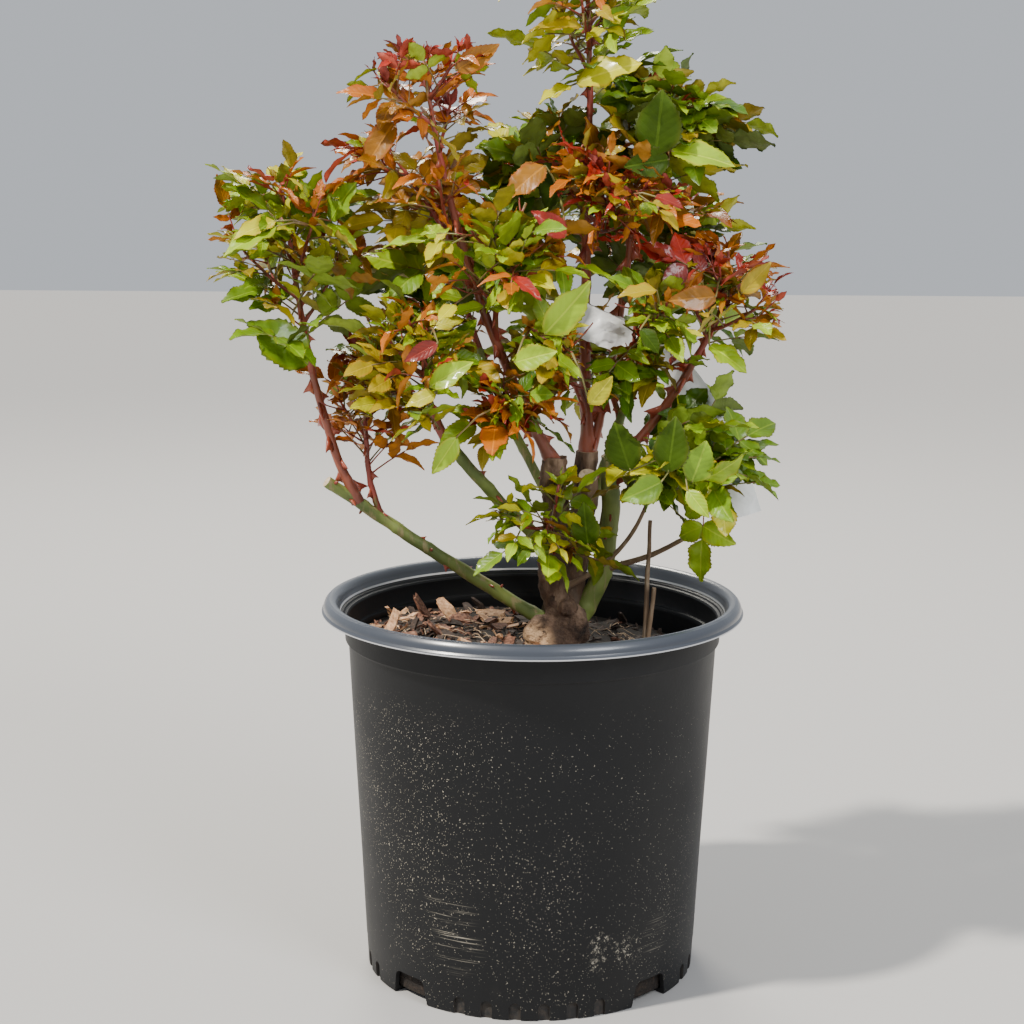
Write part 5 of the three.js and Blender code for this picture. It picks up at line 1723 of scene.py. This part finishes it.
# %% The large leaflets
LARGE_LEAVES = {
    # mass: where the leaflet's foot and tip are, and its tone
    "foliage_top": [
        ((29, -34, 620), (-3, -46, 624), "olive"), ((22, -32, 585), (1, -44, 577), "yellow"),
        ((25, -34, 586), (62, -48, 602), "yellow"), ((42, -30, 619), (57, -36, 633), "green"),
    ],
    "foliage_right_top": [
        ((74, -44, 542), (78, -50, 582), "shade"), ((84, -40, 545), (122, -52, 542), "lime"),
        ((83, -40, 540), (57, -52, 536), "shade"),
    ],
    "foliage_upper_back": [
        ((21, 0, 543), (6, -12, 509), "shade"), ((38, 0, 556), (59, -10, 530), "shade"),
    ],
    "foliage_red": [
        ((6, -52, 536), (-19, -66, 518), "bronze"), ((19, -72, 494), (0, -84, 509), "crimson"),
        ((73, -66, 518), (90, -74, 514), "wine"),
    ],
    "foliage_left": [
        ((-144, -36, 410), (-177, -48, 440), "green"), ((-160, -56, 498), (-192, -72, 485), "lime"),
        ((-161, -52, 501), (-185, -68, 495), "yellow"), ((-128, -42, 501), (-114, -50, 526), "green"),
        ((-131, -42, 498), (-110, -56, 489), "lime"),
    ],
    "foliage_left_upper": [
        ((-88, -34, 562), (-108, -44, 535), "bronze"),
    ],
    "foliage_left_top": [
        ((-49, -52, 593), (-24, -60, 608), "bronze"),
    ],
    "foliage_left_mid": [
        ((-59, -100, 400), (-78, -104, 394), "yellow"), ((-63, -100, 404), (-39, -106, 421), "lime"),
        ((-58, -104, 431), (-78, -108, 421), "wine"),
    ],
    "foliage_inner_low": [
        ((-47, -88, 372), (-61, -96, 350), "lime"),
    ],
    "foliage_inner_right": [
        ((6, -96, 436), (34, -104, 466), "lime"), ((-12, -98, 419), (11, -114, 428), "lime"),
        ((34, -92, 393), (47, -100, 410), "yellow"),
    ],
    "foliage_right_mid": [
        ((75, -70, 461), (51, -78, 461), "olive"), ((64, -92, 439), (77, -94, 426), "shade"),
    ],
    "foliage_right_low": [
        ((60, -84, 351), (49, -88, 381), "shade"), ((83, -84, 350), (87, -88, 384), "shade"),
        ((98, -84, 344), (106, -90, 370), "green"), ((106, -80, 345), (129, -94, 359), "lime"),
        ((79, -88, 345), (57, -104, 336), "green"), ((95, -88, 340), (107, -100, 326), "lime"),
    ],
    "foliage_right": [
        ((110, -46, 425), (133, -62, 413), "lime"), ((129, -50, 458), (146, -56, 477), "olive"),
        ((113, -52, 456), (85, -66, 455), "bronze"),
    ],
    "foliage_low": [
        ((35, -66, 300), (31, -74, 327), "shade"),
    ],
}
TO_VIEWER = Vector((0.1, -0.8, 0.5))
LONG_STALK_RADII = [0.9, 0.75, 0.6, 0.5]


def nearest_on_twigs(mass, spot):
    places = [twig.line.at(share) for twig in mass.twigs for share in np.linspace(0.1, 1, 12)]
    return min(places, key=lambda place: (place - spot).length)


def place_large_leaf(mass, heap, stalks, dice, foot, tip, tone):
    foot, run = Vector(foot), Vector(tip) - Vector(foot)
    near = nearest_on_twigs(mass, foot)
    middle = near.lerp(foot, 0.5) + UP * (0.1 * (near - foot).length)
    stalks.add(*tube([near, middle, foot, foot + run * 0.05], LONG_STALK_RADII, 5), GROWN_STALK)
    kind = "broad" if tone in ("shade", "green") else "long"
    put_leaflet(heap, kind, dice, foot, run, TO_VIEWER + jitter(dice, 0.5), run.length, tone)


# %% [markdown]
# Tones are dealt out by spray: leaves that stand together on a twig share one, older low down and younger towards
# the tip, and about a third of their leaflets take a neighbouring tone. A tuft of folded young leaflets ends each
# twig.

# %% Dressing a mass
TUFTS = {
    # look of the mass: tones of the tufts at its twigs' ends
    "spring": ("bronze", "olive", "orange"), "glossy": ("lime", "olive"), "lime": ("lime", "bronze"),
    "mixed": ("crimson", "orange"), "dark": ("bronze", "crimson"), "bronze": ("crimson", "orange"),
    "crimson": ("crimson", "wine"),
}
TUFT = {"angles": (12, 42), "lengths": (8, 15), "middle": 5, "leaflets": 4, "on_spurs": 2, "smaller": 0.75}
AGE = {"along": 0.75, "shoot": 0.15, "varies": 0.22, "young": 0.55}


def tone_at(mass, dice, place, order):
    low, high = LOOKS[mass.look]
    age = place * AGE["along"] + (AGE["shoot"] if order else 0) + dice.between(-AGE["varies"], AGE["varies"])
    return dice.pick(high if age > AGE["young"] else low)


def dress_tip(mass, twig, heap, dice):
    tip, heading, on_spur = twig.line.tip, twig.line.heading(1), twig.order > 1
    tone = dice.pick(TUFTS[mass.look])
    if in_bare_row(tip + heading * TUFT["middle"]):
        return
    for k in range(TUFT["on_spurs" if on_spur else "leaflets"]):
        direction = direction_round(heading, radians(dice.between(*TUFT["angles"])), k * GOLDEN_TURN)
        size = dice.between(*TUFT["lengths"]) * (TUFT["smaller"] if on_spur else 1)
        upper_side = heading.cross(direction) + UP
        put_leaflet(heap, "young", dice, tip - heading * 0.5, direction, upper_side, size, tone)


def dress_mass(mass, stalks):
    heap, dice = Heap(), Dice(mass.seed + 600)
    grown_kind = "broad" if mass.look in ("glossy", "dark") else "old"
    for row in LARGE_LEAVES.get(mass.name, ()):
        place_large_leaf(mass, heap, stalks, dice, *row)
    spray = {}
    for leaf in mass.leaves:
        key = (id(leaf.twig), round(leaf.place * 3))
        if key not in spray:
            spray[key] = tone_at(mass, dice, leaf.place, leaf.twig.order)
        dress_leaf(leaf, heap, stalks, dice, spray[key], grown_kind)
    for twig in mass.twigs:
        dress_tip(mass, twig, heap, dice)
    return heap


# %% The leaves, mass by mass
stalks = Heap()
total = 0
for mass in masses:
    heap = dress_mass(mass, stalks)
    total += sum(len(part) for part in heap.triangles)
    keep(heap.piece(f"{mass.name}_leaves", LEAF_FINISHES), f"{mass.name}_leaves", mass.slot, mass.name)
stalks = stalks.piece("leaf_stalks", [YOUNG_SKIN, STALK_SKIN])
keep(stalks, "leaf_stalks", "green_leaves", *[mass.name for mass in masses])
print("leaf triangles:", total)

# %% [markdown]
# ## Twigs
# A stem carries on from its cane with no step, so its tube starts a little inside the cane. Shoots have a swollen
# foot and a slight zigzag between leaves.

# %% Stems and shoots
TWIG_STEP = 6
SWAY, SWAY_RINGS = 0.45, 1.6
FOOT_SWELL, FOOT_REACH, NODE_SWELL = 0.5, 3, 0.12
INSIDE_CANE = 4


def twig_tube(twig, seed, sides):
    rings = max(4, round(twig.line.length / TWIG_STEP))
    points, radii = [], []
    for i in range(rings + 1):
        along = i / rings
        sway, beat = SWAY * min(1, 5 * along), along * rings / SWAY_RINGS
        zigzag = [sway * noise.noise(Vector((beat, seed * 2.3, axis))) for axis in (1, 4, 7)]
        radius = twig.radii[0] + (twig.radii[1] - twig.radii[0]) * along
        at_foot = FOOT_SWELL * exp(-along * twig.line.length / FOOT_REACH) * (twig.order > 0)
        points.append(twig.line.at(along) + Vector(zigzag) * 2)
        radii.append(radius * (1 + at_foot + NODE_SWELL * (i % 2)))
    return tube(points, radii, sides)


def make_twigs():
    heap, seed = Heap(), 0
    for mass in masses:
        for twig in mass.twigs:
            seed += 1
            sides = 10 if twig.order == 0 else 6 if twig.radii[0] > 1 else 4
            if twig.order == 0 and mass.from_tip:
                foot = twig.line.foot - mass.heading * INSIDE_CANE
                twig.line = BowedLine(foot, twig.line.middle, twig.line.tip)
            heap.add(*twig_tube(twig, seed, sides))
    return heap.piece("young_twigs", [YOUNG_SKIN])


keep(make_twigs(), "young_twigs", "red_cane", *[mass.name for mass in masses])

# %% [markdown]
# ## Prickles and buds
# Rose prickles sit on the skin and hook downwards from a long foot. One is modelled, and copies of it are dealt out
# along canes and stems at the golden angle. Small red buds sit in the leaf scars of the bare canes.

# %% Modelling one prickle and one bud
PRICKLE = {"radius": 0.5, "tip": 0.03, "cuts": (-0.12, 0.2), "hook": 0.42}
PRICKLE_WIDTHS = {"foot": (1.7, 0.62), "blade": (1.1, 0.8)}


def model_prickle():
    """A cone one unit high, cut twice, flattened, drawn out at its foot and bent down."""
    begin()
    radii = {"radius1": PRICKLE["radius"] * MM, "radius2": PRICKLE["tip"] * MM}
    bpy.ops.mesh.primitive_cone_add(vertices=8, **radii, depth=1 * MM, end_fill_type="NGON")
    thorn = bpy.context.object
    for height in PRICKLE["cuts"]:
        edit()
        bpy.ops.mesh.bisect(plane_co=(0, 0, height * MM), plane_no=(0, 0, 1))
    leave_edit()
    for vertex in thorn.data.vertices:
        x, y, z = vertex.co / MM
        rise = z + 0.5
        long, wide = PRICKLE_WIDTHS["foot" if rise < 0.1 else "blade"]
        vertex.co = Vector((x * long - PRICKLE["hook"] * rise**2, y * wide * 0.8, rise)) * MM
    return shape_of(thorn)


def model_bud():
    """A ball one unit wide, narrowed towards its tip."""
    begin()
    bpy.ops.mesh.primitive_uv_sphere_add(segments=8, ring_count=6, radius=0.5 * MM)
    bud = bpy.context.object
    for vertex in bud.data.vertices:
        x, y, z = vertex.co / MM
        narrow = 1 - 0.5 * max(0, z + 0.1)
        vertex.co = Vector((x * narrow * 0.75, y * narrow * 0.75, (z + 0.3) * 1.3)) * MM
    return shape_of(bud)


# %% Dealing them out
PRICKLE_REDS = [(0.32, (0.24, 0.035, 0.022)), (0.6, (0.42, 0.1, 0.05)), (0.75, (0.5, 0.24, 0.12))]
SPACINGS = {
    # how far apart the pieces stand, how long they are and how much room they leave after the limb's foot
    "red": (9, 7.6, 0),
    "green": (21, 4.2, 6),
    "buds": (30, 3.4, 8),
    "stem": (9, 4.4, 0),
    "shoot": (14, 2.4, 0),
}
PRICKLE_PLACE, BUD_PLACE = 0, 1


def prickle_finish():
    finish = Finish("rose_prickle", Roughness=0.35, Coat_Weight=0.2)
    grain = finish.grain(180, 3)
    finish.feed("Base Color", finish.ramp(grain, PRICKLE_REDS))
    finish.relief(grain, 0.0003)
    return finish.material


def set_on(heap, shape, foot, heading, outwards, size, kind):
    """Puts a copy on the skin: its z axis points out and its x axis up the cane."""
    points, triangles = shape
    across = outwards.cross(heading).normalized()
    heading = across.cross(outwards).normalized()
    heap.add(points * size @ np.array([heading, across, outwards]) + np.array(foot), triangles, kind)


def arm(heap, dice, shape, line, radius_at, spacing, size, clear, kind=PRICKLE_PLACE):
    """Sets copies of a shape along a line, `clear` millimetres from its foot on."""
    turn, reach = dice.between(0, 2 * pi), clear + dice.between(0.5, 1) * spacing
    while reach < line.length - 3:
        along = reach / line.length
        heading = line.heading(along)
        turn += GOLDEN_TURN + dice.between(-0.4, 0.4)
        outwards = direction_round(heading, pi / 2, turn)
        foot = line.at(along) + outwards * (radius_at(along) * 0.86)
        set_on(heap, shape, foot, heading, outwards, size * dice.between(0.7, 1.15), kind)
        reach += spacing * dice.between(0.6, 1.4)


def deal_prickles():
    prickle, bud, dice, heap = model_prickle(), model_bud(), Dice(700), Heap()

    def deal(row, shape, line, radius_at, parent_radius=0, kind=PRICKLE_PLACE):
        spacing, size, clear = SPACINGS[row]
        arm(heap, dice, shape, line, radius_at, spacing, size, parent_radius + clear, kind)

    for limb in limbs.values():
        parent_radius = limb.parent.radii[0] if limb.parent else 0
        if limb.bark in ("red", "green"):
            deal(limb.bark, prickle, limb.line, limb.radius, parent_radius)
        if limb.bark == "green":
            deal("buds", bud, limb.line, limb.radius, parent_radius, BUD_PLACE)
    for mass in masses:
        stem, *shoots = mass.twigs[: mass.shoots + 1]
        deal("stem", prickle, stem.line, lambda along: stem.radii[0] * (1 - 0.5 * along))
        for shoot in shoots:
            deal("shoot", prickle, shoot.line, lambda along: 1.0)
    return heap.piece("prickles", [prickle_finish(), YOUNG_SKIN])


keep(deal_prickles(), "prickles", "red_cane")

# %% [markdown]
# ## The label
# A plain white plastic strip is threaded into a loose loop round the tall cane, and its tail hangs out to the right.
# A flat grid is laid along the path of the strip, row by row, creased a little and then given its thickness.

# %% The strip's path
LOOP = {"from": 25, "to": 318, "rows": 40, "slant": 8}
TAIL_ROWS, STRIP_COLUMNS, STRIP_THICKNESS = 34, 8, 0.35
JOIN = {"rows": 5, "passes": 30}
CREASE = {"plain": 1.0, "at_loop": 4.2, "wider": 0.25, "fades": 9}


def label_path():
    """Centres of the strip's rows and the way that its width points at each."""
    centre, (wide, deep) = Vector(LABEL["centre"]), LABEL["half"]
    rows = []
    for i in range(LOOP["rows"]):
        turn = radians(LOOP["from"] + (LOOP["to"] - LOOP["from"]) * i / (LOOP["rows"] - 1))
        slant = UP * (-LOOP["slant"] * cos(turn))
        leaning = UP + Vector((0.35, -0.55 * sin(turn), 0))
        rows.append((centre + Vector((wide * cos(turn), deep * sin(turn), 0)) + slant, leaning))
    for i in range(1, TAIL_ROWS):
        along = i / (TAIL_ROWS - 1)
        heading = LABEL_LINE.heading(along)
        rows.append((LABEL_LINE.at(along), Vector((-heading.z, 0, heading.x))))
    centres = [row[0] for row in rows]
    join = LOOP["rows"]
    for _ in range(JOIN["passes"]):
        for i in range(join - JOIN["rows"], join + JOIN["rows"] + 1):
            centres[i] = (centres[i - 1] + centres[i + 1]) / 2
    return [(point, row[1].normalized()) for point, row in zip(centres, rows)]


# %% Laying the strip
def label_finish():
    finish = Finish("label_plastic", Roughness=0.42)
    smudge = finish.step(finish.grain(60, 4), 0.5, 0.78)
    finish.feed("Base Color", finish.mix(smudge * 0.4, (0.93, 0.94, 0.95), (0.72, 0.7, 0.66)))
    finish.relief(finish.grain(90, 2, roughness=0.7), 0.0012)
    return finish.material


def make_label():
    path = label_path()
    begin()
    bpy.ops.mesh.primitive_grid_add(x_subdivisions=len(path) - 1, y_subdivisions=STRIP_COLUMNS, size=1)
    strip = bpy.context.object
    for vertex in strip.data.vertices:
        row = round((vertex.co.x + 0.5) * (len(path) - 1))
        point, width = path[row]
        loose = exp(-max(0, row - LOOP["rows"]) / CREASE["fades"])
        ruffled = CREASE["plain"] + CREASE["at_loop"] * loose
        crease = abs(noise.noise(Vector((row * 0.3, vertex.co.y * 2.4, 4)))) * ruffled
        ahead = path[min(row + 1, len(path) - 1)][0] - path[max(row - 1, 0)][0]
        outwards = ahead.cross(width).normalized()
        spread = vertex.co.y * LABEL["width"] * (1 + CREASE["wider"] * loose)
        vertex.co = (point + width * spread + outwards * crease) * MM
    solid = strip.modifiers.new("thickness", "SOLIDIFY")
    solid.thickness, solid.offset = STRIP_THICKNESS * MM, 0
    bpy.ops.object.modifier_apply(modifier=solid.name)
    finish_edges(strip, 40)
    return paint(strip, label_finish())


keep(make_label(), "white_label", "label", "label_loop", "label_tail")

# %% [markdown]
# ## Floor
# The finished pot stands on a plain pale floor, which isn't part of it.

# %% Floor
def pale_floor():
    begin()
    bpy.ops.mesh.primitive_plane_add(size=12)
    floor = paint(bpy.context.object, Finish("pale_floor", Roughness=0.8, Base_Color=(0.43, 0.42, 0.41, 1)).material)
    floor.name = "studio_floor"
    floor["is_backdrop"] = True


pale_floor()

# %% [markdown]
# ## Last look at the sizes
# The dressed plant has to fit the box of its solids, apart from a few millimetres. Both boxes are printed.

# %% Boxes
visual_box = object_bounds()
boxes = {"cad": cad_box, "visual": visual_box}
boxes = {name: [[float(x) for x in corner] for corner in box] for name, box in boxes.items()}
print("boxes:", boxes)
